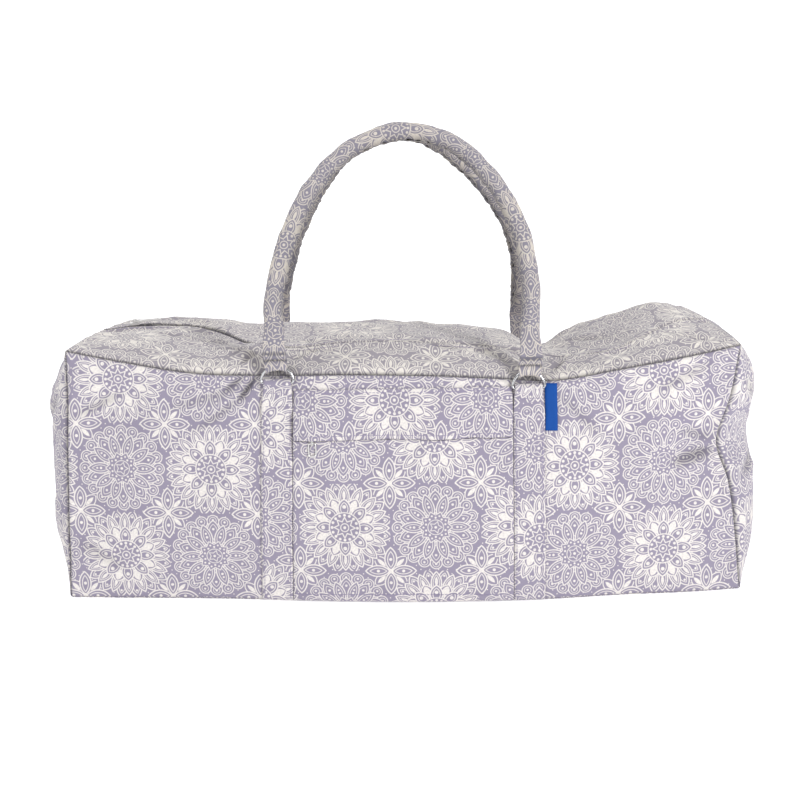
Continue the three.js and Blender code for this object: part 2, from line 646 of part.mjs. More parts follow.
function handleGeometry(sideOfBag) {
  const straps = STRAPS.filter((strap) => strap.side === sideOfBag);
  const frames = straps.map(ringFrame);
  const [start, finish] = [-1, 1].map((end, i) => handleEnd(frames[i], end * sideOfBag, sideOfBag));
  const feet = [start, finish].map((end) => end.at(-1).point);
  const arch = handleArch(feet, sideOfBag).map((point) => ({ point }));
  const rows = [...start, ...arch, ...finish.reverse()];
  const foot = start.at(-1).point;
  const lean = sideOfBag * handleApexY - foot.y;
  const out = new THREE.Vector3(0, sideOfBag * (HANDLE_TOP - foot.z), -sideOfBag * lean).normalize();
  const loops = rows.map((row, i) => {
    const before = rows[Math.max(i - 1, 0)].point;
    const after = rows[Math.min(i + 1, rows.length - 1)].point;
    const along = after.clone().sub(before).normalize();
    let { side, width, thickness } = row;
    let droop = 0;
    if (side) {
      droop = THREE.MathUtils.clamp(1 - row.rise / (HANDLE_FOLD / 2), 0, 1);
    } else {
      side = new THREE.Vector3().crossVectors(along, out).normalize();
      const frame = row.point.x < 0 ? frames[0] : frames[1];
      const rise = row.point.clone().sub(frame.bar).dot(frame.up) - RING_RADIUS;
      width = HANDLE_DIAMETER * column(HANDLE_END, 'rise', rise / HANDLE_END_LENGTH, handleWidth(sideOfBag));
      thickness = HANDLE_DIAMETER * column(HANDLE_END, 'rise', rise / HANDLE_END_LENGTH, 'thickness');
    }
    const normal = new THREE.Vector3().crossVectors(side, along).normalize();
    return handleSection(row.point, side, normal, width, thickness, droop);
  });
  return loft(loops);
}

for (const strap of STRAPS) {
  add(`ring_${strap.name}`, ringGeometry(ringFrame(strap)), metal);
}
add('handle_front', handleGeometry(-1), cloth);
add('handle_back', handleGeometry(1), cloth);

// A piece of cloth lying on the front wall between two edges that may lean with height
function frontCloth(fromAt, toAt, heights, nearOffset, thickness) {
  const middle = (heights[0] + heights.at(-1)) / 2;
  const width = toAt(middle) - fromAt(middle);
  const shares = stations([0, 1], CLOTH_STEP / width);
  const at = (z, share, offset) => offWall(
    -1, THREE.MathUtils.lerp(fromAt(z), toAt(z), share), z, nearOffset(z) + offset);
  return shell(
    grid(heights, shares, (z, share) => at(z, share, thickness)),
    grid(heights, shares, (z, share) => at(z, share, 0)));
}

// Outer pocket: its panel, its zip and the band that covers the zip
const [frontLeft, frontRight] = STRAPS;
const pocketFrom = (z) => strapMiddle(frontLeft, z) + STRAP_WIDTH / 2 + SEAM_GAP;
const pocketTo = (z) => strapMiddle(frontRight, z) - STRAP_WIDTH / 2 - SEAM_GAP;
const pocketRim = FLAP_EDGE - LAYER_GAP;
const sliderStack = LAYER_GAP + POCKET_TAPE_THICKNESS + LAYER_GAP;
const flapStand = sliderStack + SLIDER_HEIGHT + 4 * LAYER_GAP;
add('pocket_panel', frontCloth(pocketFrom, pocketTo, stations([POCKET_FOOT, pocketRim], POCKET_STEP),
  () => POCKET_SPACE, POCKET_THICKNESS), cloth);
add('pocket_zip_tape', frontCloth(pocketFrom, pocketTo, [FLAP_EDGE, FLAP_EDGE + POCKET_TAPE_HEIGHT],
  () => LAYER_GAP, POCKET_TAPE_THICKNESS), zipCloth);
function flapOffset(z) {
  const share = THREE.MathUtils.clamp((FLAP_TOP - z) / (FLAP_TOP - FLAP_EDGE - 2 * SLIDER_LENGTH), 0, 1);
  return THREE.MathUtils.lerp(LAYER_GAP, flapStand, share);
}
add('pocket_flap', frontCloth(pocketFrom, pocketTo, stations([FLAP_EDGE, FLAP_TOP], FLAP_STEP),
  flapOffset, FLAP_THICKNESS), cloth);

// Side label, sewn in at the right edge of the right front band
const labelFrom = (z) => strapMiddle(frontRight, z) + STRAP_WIDTH / 2 + SEAM_GAP;
const labelTop = rimHeight(HALF_LENGTH * frontRight.top + STRAP_WIDTH / 2, -1) - LABEL_DROP;
add('side_label', frontCloth(labelFrom, (z) => labelFrom(z) + LABEL_WIDTH,
  stations([labelTop - LABEL_HEIGHT, labelTop], LABEL_STEP), () => LAYER_GAP, LABEL_THICKNESS), labelCloth);

// Small cloth loop on the right end, standing off the wall in its middle
function endPoint(y, z, offset) {
  const b = y / HALF_DEPTH;
  const point = bodyPoint(1, b, 2 * z / HEIGHT - 1);
  point.x += offset;
  return point;
}
const loopHeights = stations([-1, 1], 0.4);
function tabRise(t) {
  return LAYER_GAP + TAB_LOOP_RISE * (1 - t ** 4);
}
const loopAt = (t) => TAB_LOOP_MIDDLE + t * TAB_LOOP_HEIGHT / 2;
const loopAcross = [-TAB_LOOP_WIDTH / 2, TAB_LOOP_WIDTH / 2];
add('end_tab', shell(
  grid(loopHeights, loopAcross, (t, y) => endPoint(y, loopAt(t), tabRise(t) + TAB_LOOP_THICKNESS)),
  grid(loopHeights, loopAcross, (t, y) => endPoint(y, loopAt(t), tabRise(t)))), cloth);

// Joining solids
function solid(geometry) {
  const source = geometry.index ? geometry.toNonIndexed() : geometry;
  const position = source.attributes.position;
  const mesh = new wasm.Mesh({
    numProp: 3,
    vertProperties: Float32Array.from(position.array),
    triVerts: Uint32Array.from({ length: position.count }, (_, i) => i),
  });
  mesh.merge();
  return new wasm.Manifold(mesh);
}
function fromSolid(body) {
  const mesh = body.getMesh();
  return triangles(Array.from(mesh.vertProperties), Array.from(mesh.triVerts));
}

// Slider: a flat block with a bridge over a slot that holds the pin end of the pull tab.
// It lies along X on its own origin, and the pin runs along Y.
const slotHeight = TAB_THICKNESS + 2 * PIN_CLEARANCE;
const pinHeight = SLIDER_HEIGHT + slotHeight / 2;
const bridgeLength = TAB_THICKNESS + 2 * PIN_CLEARANCE + 2 * BRIDGE_WALL;
function sliderGeometry(bridgeAt) {
  const block = new THREE.BoxGeometry(SLIDER_LENGTH, SLIDER_WIDTH, SLIDER_HEIGHT);
  block.translate(0, 0, SLIDER_HEIGHT / 2);
  const frame = new THREE.Shape();
  const half = bridgeLength / 2;
  const top = SLIDER_HEIGHT + slotHeight + BRIDGE_WALL;
  const tongue = -bridgeAt - SLIDER_LENGTH / 2 + TONGUE_OVERLAP;
  const tongueTop = SLIDER_HEIGHT - TONGUE_DROP;
  frame.moveTo(tongue, SLIDER_HEIGHT / 2);
  frame.lineTo(half, SLIDER_HEIGHT / 2);
  frame.lineTo(half, top);
  frame.lineTo(-half, top);
  frame.lineTo(-half, tongueTop);
  frame.lineTo(tongue, tongueTop);
  frame.closePath();
  const hole = new THREE.Path();
  const inner = half - BRIDGE_WALL;
  hole.moveTo(-inner, SLIDER_HEIGHT);
  hole.lineTo(-inner, SLIDER_HEIGHT + slotHeight);
  hole.lineTo(inner, SLIDER_HEIGHT + slotHeight);
  hole.lineTo(inner, SLIDER_HEIGHT);
  hole.closePath();
  frame.holes.push(hole);
  const bridge = new THREE.ExtrudeGeometry(frame, { depth: BRIDGE_WIDTH, bevelEnabled: false });
  bridge.rotateX(Math.PI / 2);
  bridge.translate(bridgeAt, BRIDGE_WIDTH / 2, 0);
  return fromSolid(solid(block).add(solid(bridge)));
}

// Pull tab: a flat plate with a window at its pin end and one at its free end.
// The pin is on the tab's origin and the tab reaches along -X.
function tabGeometry(length) {
  const outline = new THREE.Shape();
  const half = TAB_WIDTH / 2;
  const pin = TAB_THICKNESS / 2;
  outline.moveTo(pin, -half);
  outline.lineTo(pin, half);
  outline.lineTo(-length + TAB_CORNER, half);
  outline.lineTo(-length, half - TAB_CORNER);
  outline.lineTo(-length, -half + TAB_CORNER);
  outline.lineTo(-length + TAB_CORNER, -half);
  outline.closePath();
  const window = (from, to, halfWidth) => {
    const path = new THREE.Path();
    path.moveTo(from, -halfWidth);
    path.lineTo(to, -halfWidth);
    path.lineTo(to, halfWidth);
    path.lineTo(from, halfWidth);
    path.closePath();
    return path;
  };
  const bridgeRoom = bridgeLength / 2 + PIN_CLEARANCE + slotHeight;
  outline.holes.push(window(-bridgeRoom, -pin, BRIDGE_WIDTH / 2 + PIN_CLEARANCE));
  if (length > 2 * bridgeRoom + TAB_WIDTH) {
    outline.holes.push(window(-length + TAB_FRAME, -bridgeRoom - TAB_FRAME, half - TAB_FRAME));
  }
  const plate = new THREE.ExtrudeGeometry(outline, { depth: TAB_THICKNESS, bevelEnabled: false });
  plate.translate(0, 0, -TAB_THICKNESS / 2);
  return plate;
}

// A group standing on a surface: its X along one tangent, its Z out of the surface
function holder(origin, along, across, lift) {
  const group = new THREE.Group();
  const length = along.clone().normalize();
  const out = new THREE.Vector3().crossVectors(length, across).normalize();
  const width = new THREE.Vector3().crossVectors(out, length);
  group.quaternion.setFromRotationMatrix(new THREE.Matrix4().makeBasis(length, width, out));
  group.position.copy(origin).addScaledVector(out, lift);
  bag.add(group);
  return group;
}
function addSlider(name, parent, bridgeAt, tabLength) {
  parent.add(add(`${name}_slider`, sliderGeometry(bridgeAt), metal));
  const puller = add(`${name}_puller`, tabGeometry(tabLength), metal);
  puller.position.set(bridgeAt, 0, pinHeight);
  puller.rotation.z = Math.PI;
  parent.add(puller);
}

// Main slider near the left end of the zip, its tab lying towards the middle of the bag
const sliderStep = SLIDER_LENGTH / LENGTH;
const chainTangent = tapePoint(MAIN_SLIDER_ALONG + sliderStep, 0, CHAIN_RISE)
  .sub(tapePoint(MAIN_SLIDER_ALONG - sliderStep, 0, CHAIN_RISE));
const slotTangent = tapePoint(MAIN_SLIDER_ALONG, SLOT_WIDTH / 2, CHAIN_RISE)
  .sub(tapePoint(MAIN_SLIDER_ALONG, -SLOT_WIDTH / 2, CHAIN_RISE));
const mainHolder = holder(
  tapePoint(MAIN_SLIDER_ALONG, 0, CHAIN_RISE), chainTangent, slotTangent, 2 * LAYER_GAP);
addSlider('main_zip', mainHolder, 0, MAIN_TAB_LENGTH);

// Pocket slider under the band's edge, its tab hanging below the edge
const pocketSliderHeight = FLAP_EDGE + SLIDER_LENGTH / 2;
const pocketSliderX = pocketFrom(FLAP_EDGE) + POCKET_SLIDER_INSET;
const wallDown = offWall(-1, pocketSliderX, pocketSliderHeight - SLIDER_LENGTH, 0)
  .sub(offWall(-1, pocketSliderX, pocketSliderHeight + SLIDER_LENGTH, 0));
const wallAcross = offWall(-1, pocketSliderX + SLIDER_WIDTH, pocketSliderHeight, 0)
  .sub(offWall(-1, pocketSliderX - SLIDER_WIDTH, pocketSliderHeight, 0));
const pocketHolder = holder(
  offWall(-1, pocketSliderX, pocketSliderHeight, sliderStack), wallDown, wallAcross, LAYER_GAP);
const lugAt = SLIDER_LENGTH / 2 + 3 * LAYER_GAP + bridgeLength / 2;
addSlider('pocket_zip', pocketHolder, lugAt, POCKET_TAB_LENGTH);

export default bag;
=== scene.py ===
"""A filled cloth bag for a rolled exercise mat: fine cloth, print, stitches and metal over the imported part.

All sizes here are millimetres, and meshes are made in metres. X runs along the bag, Y from front to back.
"""
import math

import bmesh
import bpy
import numpy as np
from mathutils import Matrix, Vector


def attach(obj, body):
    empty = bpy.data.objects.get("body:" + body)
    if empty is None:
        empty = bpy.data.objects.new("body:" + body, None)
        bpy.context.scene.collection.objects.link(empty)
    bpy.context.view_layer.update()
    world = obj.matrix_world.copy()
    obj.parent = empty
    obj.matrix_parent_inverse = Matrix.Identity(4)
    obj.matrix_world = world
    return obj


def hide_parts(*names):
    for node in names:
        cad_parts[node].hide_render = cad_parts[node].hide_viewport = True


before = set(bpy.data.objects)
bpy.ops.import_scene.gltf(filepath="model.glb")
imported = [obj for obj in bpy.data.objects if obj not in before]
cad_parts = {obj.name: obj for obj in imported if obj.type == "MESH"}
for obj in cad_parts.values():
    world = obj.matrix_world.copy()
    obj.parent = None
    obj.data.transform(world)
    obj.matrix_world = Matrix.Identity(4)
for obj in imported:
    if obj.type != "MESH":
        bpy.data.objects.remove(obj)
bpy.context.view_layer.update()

MM = 0.001

# Body
LENGTH = 654
DEPTH = 212
HEIGHT = 242
LEFT_END_BULGE = 28
RIGHT_END_BULGE = 35
CROWN_POWER = 3
END_REACH_POWER = 4
END_TOP_BIAS = 0.25
LAYER_GAP = 0.3
SLOT_WIDTH = 12
HALF_LENGTH = LENGTH / 2
HALF_DEPTH = DEPTH / 2
FRONT = -1
BACK = 1

# Bands, rings and handles
STRAP_WIDTH = 30
STRAP_THICKNESS = 1.5
STRAP_FOLD = 24
STRAP_LOOP_WIDTH = 26
RING_RADIUS = 15.7
RING_WIRE = 2.6
RING_CORNER = 3
RING_DROP = 7
RING_CLEARANCE = 1
RING_LEAN = 9
HANDLE_DIAMETER = 17.5
HANDLE_TOP = HEIGHT + 196.5
HANDLE_END_LENGTH = 54
HANDLE_CLOTH = 1.5
HANDLE_LOOP_WIDTH = 20
HANDLE_FOLD = 14
HANDLE_LOOP_CLEARANCE = 0.7

# Outer pocket, label and end loop
POCKET_SPACE = 0.6
POCKET_THICKNESS = 1.5
POCKET_FOOT = 6
FLAP_TOP = HEIGHT - 35
FLAP_EDGE = FLAP_TOP - 46
FLAP_THICKNESS = 1.2
FLAP_STAND = 5.2
FLAP_RAMP = 28
LABEL_WIDTH = 11.7
LABEL_HEIGHT = 43
LABEL_DROP = 3
LABEL_THICKNESS = 1.0
LABEL_CURL = 1.1
LABEL_WAVE = 0.25
TAB_LOOP_WIDTH = 12
TAB_LOOP_HEIGHT = 17
TAB_LOOP_RISE = 3.2
TAB_LOOP_THICKNESS = 1.4
TAB_LOOP_MIDDLE = HEIGHT - 84

# Sections along the bag, as shares of the half length, the half depth and the height
SECTIONS = (
    ("along", "front_foot", "front_belly", "front_rim", "back_foot", "back_belly", "back_rim",
     "front_seam", "back_seam", "crown", "zip"),
    (-1.00, 1.00, 1.02, 1.00, 1.00, 1.03, 1.00, 1.016, 0.980, 0.012, 0.06),
    (-0.83, 1.05, 1.09, 1.04, 1.05, 1.10, 1.04, 0.973, 0.972, 0.050, 0.12),
    (-0.60, 1.10, 1.18, 1.09, 1.10, 1.19, 1.08, 0.926, 0.940, 0.078, 0.06),
    (-0.37, 1.18, 1.26, 1.12, 1.16, 1.26, 1.11, 0.915, 0.905, 0.098, -0.56),
    (-0.18, 1.25, 1.31, 1.13, 1.20, 1.30, 1.12, 0.914, 0.905, 0.096, -0.52),
    (0.06, 1.30, 1.34, 1.14, 1.22, 1.32, 1.12, 0.906, 0.900, 0.092, -0.48),
    (0.26, 1.30, 1.33, 1.13, 1.21, 1.31, 1.11, 0.890, 0.884, 0.082, -0.46),
    (0.43, 1.28, 1.30, 1.11, 1.18, 1.27, 1.09, 0.876, 0.872, 0.062, -0.48),
    (0.62, 1.20, 1.22, 1.09, 1.13, 1.20, 1.07, 0.912, 0.925, 0.066, -0.60),
    (0.83, 1.15, 1.14, 1.04, 1.07, 1.11, 1.03, 0.955, 0.992, 0.060, -0.28),
    (1.00, 1.07, 1.03, 1.00, 1.01, 1.03, 1.00, 0.996, 1.006, 0.012, 0.06),
)

# Parts of a section's front or back, from below
PROFILE = ("foot", "belly", "rim")

# The four upright end seams by height, as shares of the half length
END_SEAMS = (
    ("up", "left_front", "left_back", "right_front", "right_back"),
    (0.00, 1.006, 0.975, 0.990, 0.975),
    (0.22, 1.002, 0.962, 0.978, 0.962),
    (0.44, 0.995, 0.945, 0.956, 0.948),
    (0.61, 0.990, 0.932, 0.922, 0.938),
    (0.80, 0.982, 0.912, 0.957, 0.926),
    (1.00, 0.979, 0.890, 0.980, 0.910),
)

# Dents and folds: axis moved, place, reach along, across and up, and depth as a share of the height
DENTS = (
    (2, 0.43, 0.80, 1.0, 0.085, 0.75, 0.9, -0.062),
    (2, 0.58, -0.30, 1.0, 0.15, 0.32, 0.6, -0.036),
    (2, -0.44, -0.25, 1.0, 0.20, 0.32, 0.6, -0.030),
    (2, -0.72, 0.45, 1.0, 0.14, 0.40, 0.6, 0.006),
    (2, 0.80, 0.40, 1.0, 0.12, 0.50, 0.6, 0.018),
    (1, 0.86, -1.0, 0.15, 0.10, 0.8, 0.32, 0.026),
    (1, -0.86, -1.0, 0.55, 0.12, 0.8, 0.35, 0.016),
    (1, -0.62, -1.0, -0.45, 0.16, 0.8, 0.40, -0.012),
    (0, -1.0, -0.35, -0.68, 0.5, 0.60, 0.14, 0.018),
    (0, 1.0, -0.75, 0.25, 0.5, 0.30, 0.20, -0.016),
)

# Bands: name, side of the bag, and middle at the base and at the top seam as shares of the half length
STRAPS = (
    ("front_left", FRONT, -0.381, -0.3624),
    ("front_right", FRONT, 0.358, 0.3593),
    ("back_left", BACK, -0.379, -0.379),
    ("back_right", BACK, 0.364, 0.364),
)

# Middle lines of the two handles: shares of half the spacing of their bands, and share of the rise
HANDLE_ARCH = (
    ("front", "back", "up"),
    (-1.020, -1.041, 0.05), (-1.032, -1.007, 0.15), (-1.002, -0.948, 0.29), (-0.943, -0.870, 0.44),
    (-0.788, -0.698, 0.66), (-0.518, -0.462, 0.867), (-0.225, -0.180, 0.97), (0.093, 0.050, 1.00),
    (0.462, 0.343, 0.934), (0.765, 0.674, 0.757), (0.971, 0.934, 0.53), (1.032, 1.034, 0.35),
    (1.038, 1.050, 0.20), (1.020, 1.053, 0.05),
)

# Flat end of a handle, as shares of its length and of the tube's diameter
HANDLE_END = (
    ("rise", "offset", "front_width", "back_width", "thickness"),
    (0.11, 0.03, 1.30, 1.00, 0.14),
    (0.26, 0.035, 1.24, 1.02, 0.18),
    (0.44, 0.02, 1.14, 1.04, 0.26),
    (0.70, 0.0, 1.07, 1.00, 0.63),
    (1.00, 0.0, 1.00, 1.00, 1.00),
)
FLAT_ROWS = 3


def column(table, at, name):
    """Smooth value of a table's column at places along its first column."""
    rows = np.array(table[1:])
    keys = rows[:, 0]
    values = rows[:, table[0].index(name)]
    last = len(keys) - 1
    before = np.maximum(np.arange(last + 1) - 1, 0)
    after = np.minimum(np.arange(last + 1) + 1, last)
    slopes = (values[after] - values[before]) / (keys[after] - keys[before])
    at = np.asarray(at, float)
    i = np.clip(np.searchsorted(keys, at, side="left") - 1, 0, last - 1)
    span = keys[i + 1] - keys[i]
    t = np.clip((at - keys[i]) / span, 0, 1)
    return ((2 * t**3 - 3 * t**2 + 1) * values[i] + (t**3 - 2 * t**2 + t) * span * slopes[i]
            + (3 * t**2 - 2 * t**3) * values[i + 1] + (t**3 - t**2) * span * slopes[i + 1])


def section(name, a):
    return column(SECTIONS, a, name)


def mix(low, high, share):
    return low + (high - low) * share


def through_three(low, middle, high, t):
    """Value at t of the parabola through three values at -1, 0 and 1."""
    return low * t * (t - 1) / 2 + middle * (1 - t * t) + high * t * (t + 1) / 2


def seam_height(a, side):
    return HEIGHT * section("front_seam" if side == FRONT else "back_seam", a)


def body(a, b, c):
    """Outer surface of the bag: a, b and c run from -1 to 1 along, across and up it."""
    a, b, c = np.broadcast_arrays(np.asarray(a, float), np.asarray(b, float), np.asarray(c, float))
    up = (c + 1) / 2
    across = (b + 1) / 2
    front, back = (HALF_DEPTH * through_three(*(section(f"{side}_{part}", a) for part in PROFILE), c)
                   for side in ("front", "back"))
    crown = HEIGHT * section("crown", a) * (1 - np.abs(b) ** CROWN_POWER)
    roof = mix(seam_height(a, FRONT), seam_height(a, BACK), across) + crown
    left, right = (mix(column(END_SEAMS, up, f"{end}_front"), column(END_SEAMS, up, f"{end}_back"), across)
                   for end in ("left", "right"))
    ending = np.abs(a) ** END_REACH_POWER
    reach = 1 + (np.where(a < 0, left, right) - 1) * ending
    spread = (1 - b**4) * (1 - c**4) * (1 + END_TOP_BIAS * c)
    bulge = spread * np.where(a < 0, -LEFT_END_BULGE, RIGHT_END_BULGE) * ending
    point = np.stack([HALF_LENGTH * a * reach + bulge, mix(-front, back, across), roof * up], axis=-1)
    for axis, at, over, height, reach_a, reach_b, reach_c, depth in DENTS:
        away = ((a - at) / reach_a) ** 2 + ((b - over) / reach_b) ** 2 + ((c - height) / reach_c) ** 2
        point[..., axis] += HEIGHT * depth * np.exp(-away) * (1 - np.maximum(0, -c) ** 2)
    return point


def off_wall(side, x, height, offset):
    """Points off the front or back wall, at a height and a distance from the cloth."""
    x, height, offset = np.broadcast_arrays(*(np.asarray(v, float) for v in (x, height, offset)))
    a = x / HALF_LENGTH
    c = 2 * height / seam_height(a, side) - 1
    point = body(a, side, c)
    for _ in range(6):
        c = c + 2 * (height - point[..., 2]) / HEIGHT
        point = body(a, side, c)
    point[..., 1] += side * offset
    return point


def rim_height(x, side):
    return float(body(x / HALF_LENGTH, side, 1)[..., 2])


def unit(vectors):
    return vectors / np.maximum(np.linalg.norm(vectors, axis=-1, keepdims=True), 1e-9)


def dot(u, v):
    return np.sum(u * v, axis=-1, keepdims=True)


def spaced(breaks, limit):
    """Places along a run with the given breaks and steps no longer than the limit."""
    places = [np.array([breaks[0]])]
    for low, high in zip(breaks[:-1], breaks[1:]):
        steps = max(1, math.ceil(abs(high - low) / limit - 1e-6))
        places.append(np.linspace(low, high, steps + 1)[1:])
    return np.concatenate(places)


def with_edges(low, high, limit, edge):
    """Evenly spaced places, finer within the first and last few millimetres."""
    fine = np.array([0, 0.12, 0.3, 0.55, 0.8, 1.0]) * edge
    middle = spaced([low + edge, high - edge], limit)
    return np.concatenate([low + fine, middle[1:-1], high - fine[::-1]])


def run_along(points):
    """Length along a line of points up to each of them."""
    return np.concatenate([[0], np.cumsum(np.linalg.norm(np.diff(points, axis=0), axis=1))])


def at_run(at, run, values):
    """Values between the points of a line, by length along it."""
    return np.stack([np.interp(at, run, values[:, k]) for k in range(3)], axis=1)


def squarer(turn, power):
    """A sine or cosine that draws a squarer outline the smaller the power is."""
    return np.sign(turn) * np.abs(turn) ** power


# Quiet irregularity of cloth

class Waves:
    """A sum of cosine waves in random directions: a smooth irregular field in millimetres."""

    def __init__(self, seed, wavelength, count=18):
        random = np.random.default_rng(seed)
        angle = random.uniform(0, 2 * math.pi, count)
        number = 2 * math.pi / (wavelength * random.uniform(0.7, 1.5, count))
        self.u = number * np.cos(angle)
        self.v = number * np.sin(angle)
        self.phase = random.uniform(0, 2 * math.pi, count)
        self.scale = math.sqrt(2 / count)

    def __call__(self, u, v):
        total = 0
        for ku, kv, phase in zip(self.u, self.v, self.phase):
            total = total + np.cos(ku * u + kv * v + phase)
        return self.scale * total


def crumple(seed, u, v, wavelength):
    """Sharp-crested creases: ridges where a smooth field passes through zero."""
    field = Waves(seed, wavelength, 14)(u, v)
    return 1 - 2 * np.sqrt(field**2 + 0.02) / 1.2


# Meshes

SHEET_SHARP = 50
GRID_STEP = 2.4
BASE_STEP = 8
EDGE_REACH = 3.2
FLOOR_CLEARANCE = 0.05


def mesh_object(name, points, faces, cloth=None, sharp=0):
    """An object from points in millimetres. cloth: place on the cut cloth, and the painted shade there."""
    mesh = bpy.data.meshes.new(name)
    points = np.asarray(points, float).reshape(-1, 3)
    faces = np.asarray(faces, int)
    corners = faces.shape[1]
    mesh.vertices.add(len(points))
    mesh.vertices.foreach_set("co", (points * MM).astype(np.float32).ravel())
    mesh.loops.add(faces.size)
    mesh.loops.foreach_set("vertex_index", faces.astype(np.int32).ravel())
    mesh.polygons.add(len(faces))
    mesh.polygons.foreach_set("loop_start", np.arange(0, faces.size, corners, dtype=np.int32))
    mesh.update(calc_edges=True)
    if cloth is not None:
        flat = np.zeros((len(points), 3), np.float32)
        cloth = np.asarray(cloth, np.float32)
        flat[:, :cloth.shape[-1]] = cloth.reshape(len(points), -1)
        mesh.attributes.new("cloth", "FLOAT_VECTOR", "POINT").data.foreach_set("vector", flat.ravel())
    mesh.polygons.foreach_set("use_smooth", np.ones(len(faces), bool))
    if sharp:
        mesh.set_sharp_from_angle(angle=math.radians(sharp))
    made = bpy.data.objects.new(name, mesh)
    bpy.context.scene.collection.objects.link(made)
    return made


def grid_faces(rows, columns, wrap=False):
    """Quads of a grid of points, with its last column joined to the first if it wraps."""
    i, j = np.meshgrid(np.arange(rows - 1), np.arange(columns if wrap else columns - 1), indexing="ij")
    k = (j + 1) % columns
    low, high = i * columns, (i + 1) * columns
    return np.stack([low + j, low + k, high + k, high + j], axis=-1).reshape(-1, 4)


def outward(points, faces, inside):
    """The faces turned so that most of them point away from a point inside."""
    corner = points.reshape(-1, 3)[faces]
    normal = np.cross(corner[:, 2] - corner[:, 0], corner[:, 3] - corner[:, 1])
    away = corner.mean(axis=1) - inside
    return faces[:, ::-1] if np.sum(normal * away) < 0 else faces


def sheet(name, points, cloth):
    """A single layer of cloth from a grid of points."""
    faces = outward(points, grid_faces(*points.shape[:2]), np.array((0, 0, HEIGHT / 2)))
    return mesh_object(name, points, faces, cloth, SHEET_SHARP)


def inside_out(points, faces):
    """Whether the faces of a closed body point inwards."""
    corner = points.reshape(-1, 3)[faces]
    volume = 0
    for second, third in ((1, 2), (2, 3)):
        volume += np.sum(corner[:, 0] * np.cross(corner[:, second], corner[:, third]))
    return volume < 0


def loft(name, loops, cloth=None, ring=False):
    """A body through closed loops of points, capped at its two ends or joined into a ring."""
    rows, sides = loops.shape[:2]
    faces = grid_faces(rows, sides, wrap=True)
    points = loops.reshape(-1, 3)
    if ring:
        last = np.arange(sides)
        after = (last + 1) % sides
        joint = np.stack([(rows - 1) * sides + last, (rows - 1) * sides + after, after, last], axis=-1)
        faces = np.concatenate([faces, joint])
    turned = inside_out(points, faces)
    made = mesh_object(name, points, faces[:, ::-1] if turned else faces, cloth)
    if not ring:
        cap_ends(made.data, rows, sides, turned)
    return made


def cap_ends(mesh, rows, sides, turned):
    """Closes both ends of a loft with one flat face each."""
    shape = bmesh.new()
    shape.from_mesh(mesh)
    shape.verts.ensure_lookup_table()
    first = [shape.verts[i] for i in range(sides)]
    final = [shape.verts[(rows - 1) * sides + i] for i in range(sides)]
    shape.faces.new(first if turned else first[::-1])
    shape.faces.new(final[::-1] if turned else final)
    shape.to_mesh(mesh)
    shape.free()


def finish_piece(piece, material, nodes=(), carrier="root"):
    piece.data.materials.append(material)
    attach(piece, carrier)
    if nodes:
        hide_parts(*nodes)
    return piece


# Print: medallions in a checkerboard of cells, with small four-leaved fillers at their corners

PRINT_CELL = 86
INK_SOFT = 0.55
INK_STRENGTH = 0.92
DOT_SPACING = 4.2
DOT_RADIUS = 0.8
GROUND = (0.232, 0.208, 0.278, 1)
INK = (0.72, 0.685, 0.64, 1)
# The top's copy of the same printed cloth is lighter and warmer: painted light, for how light falls on the
# top
TOP_GROUND = (0.262, 0.240, 0.272, 1)
TOP_INK = (0.74, 0.70, 0.64, 1)
# The handles' copy of the same printed cloth is dimmer: painted shade
HANDLE_GROUND = (0.190, 0.178, 0.222, 1)
HANDLE_INK = (0.58, 0.53, 0.46, 1)


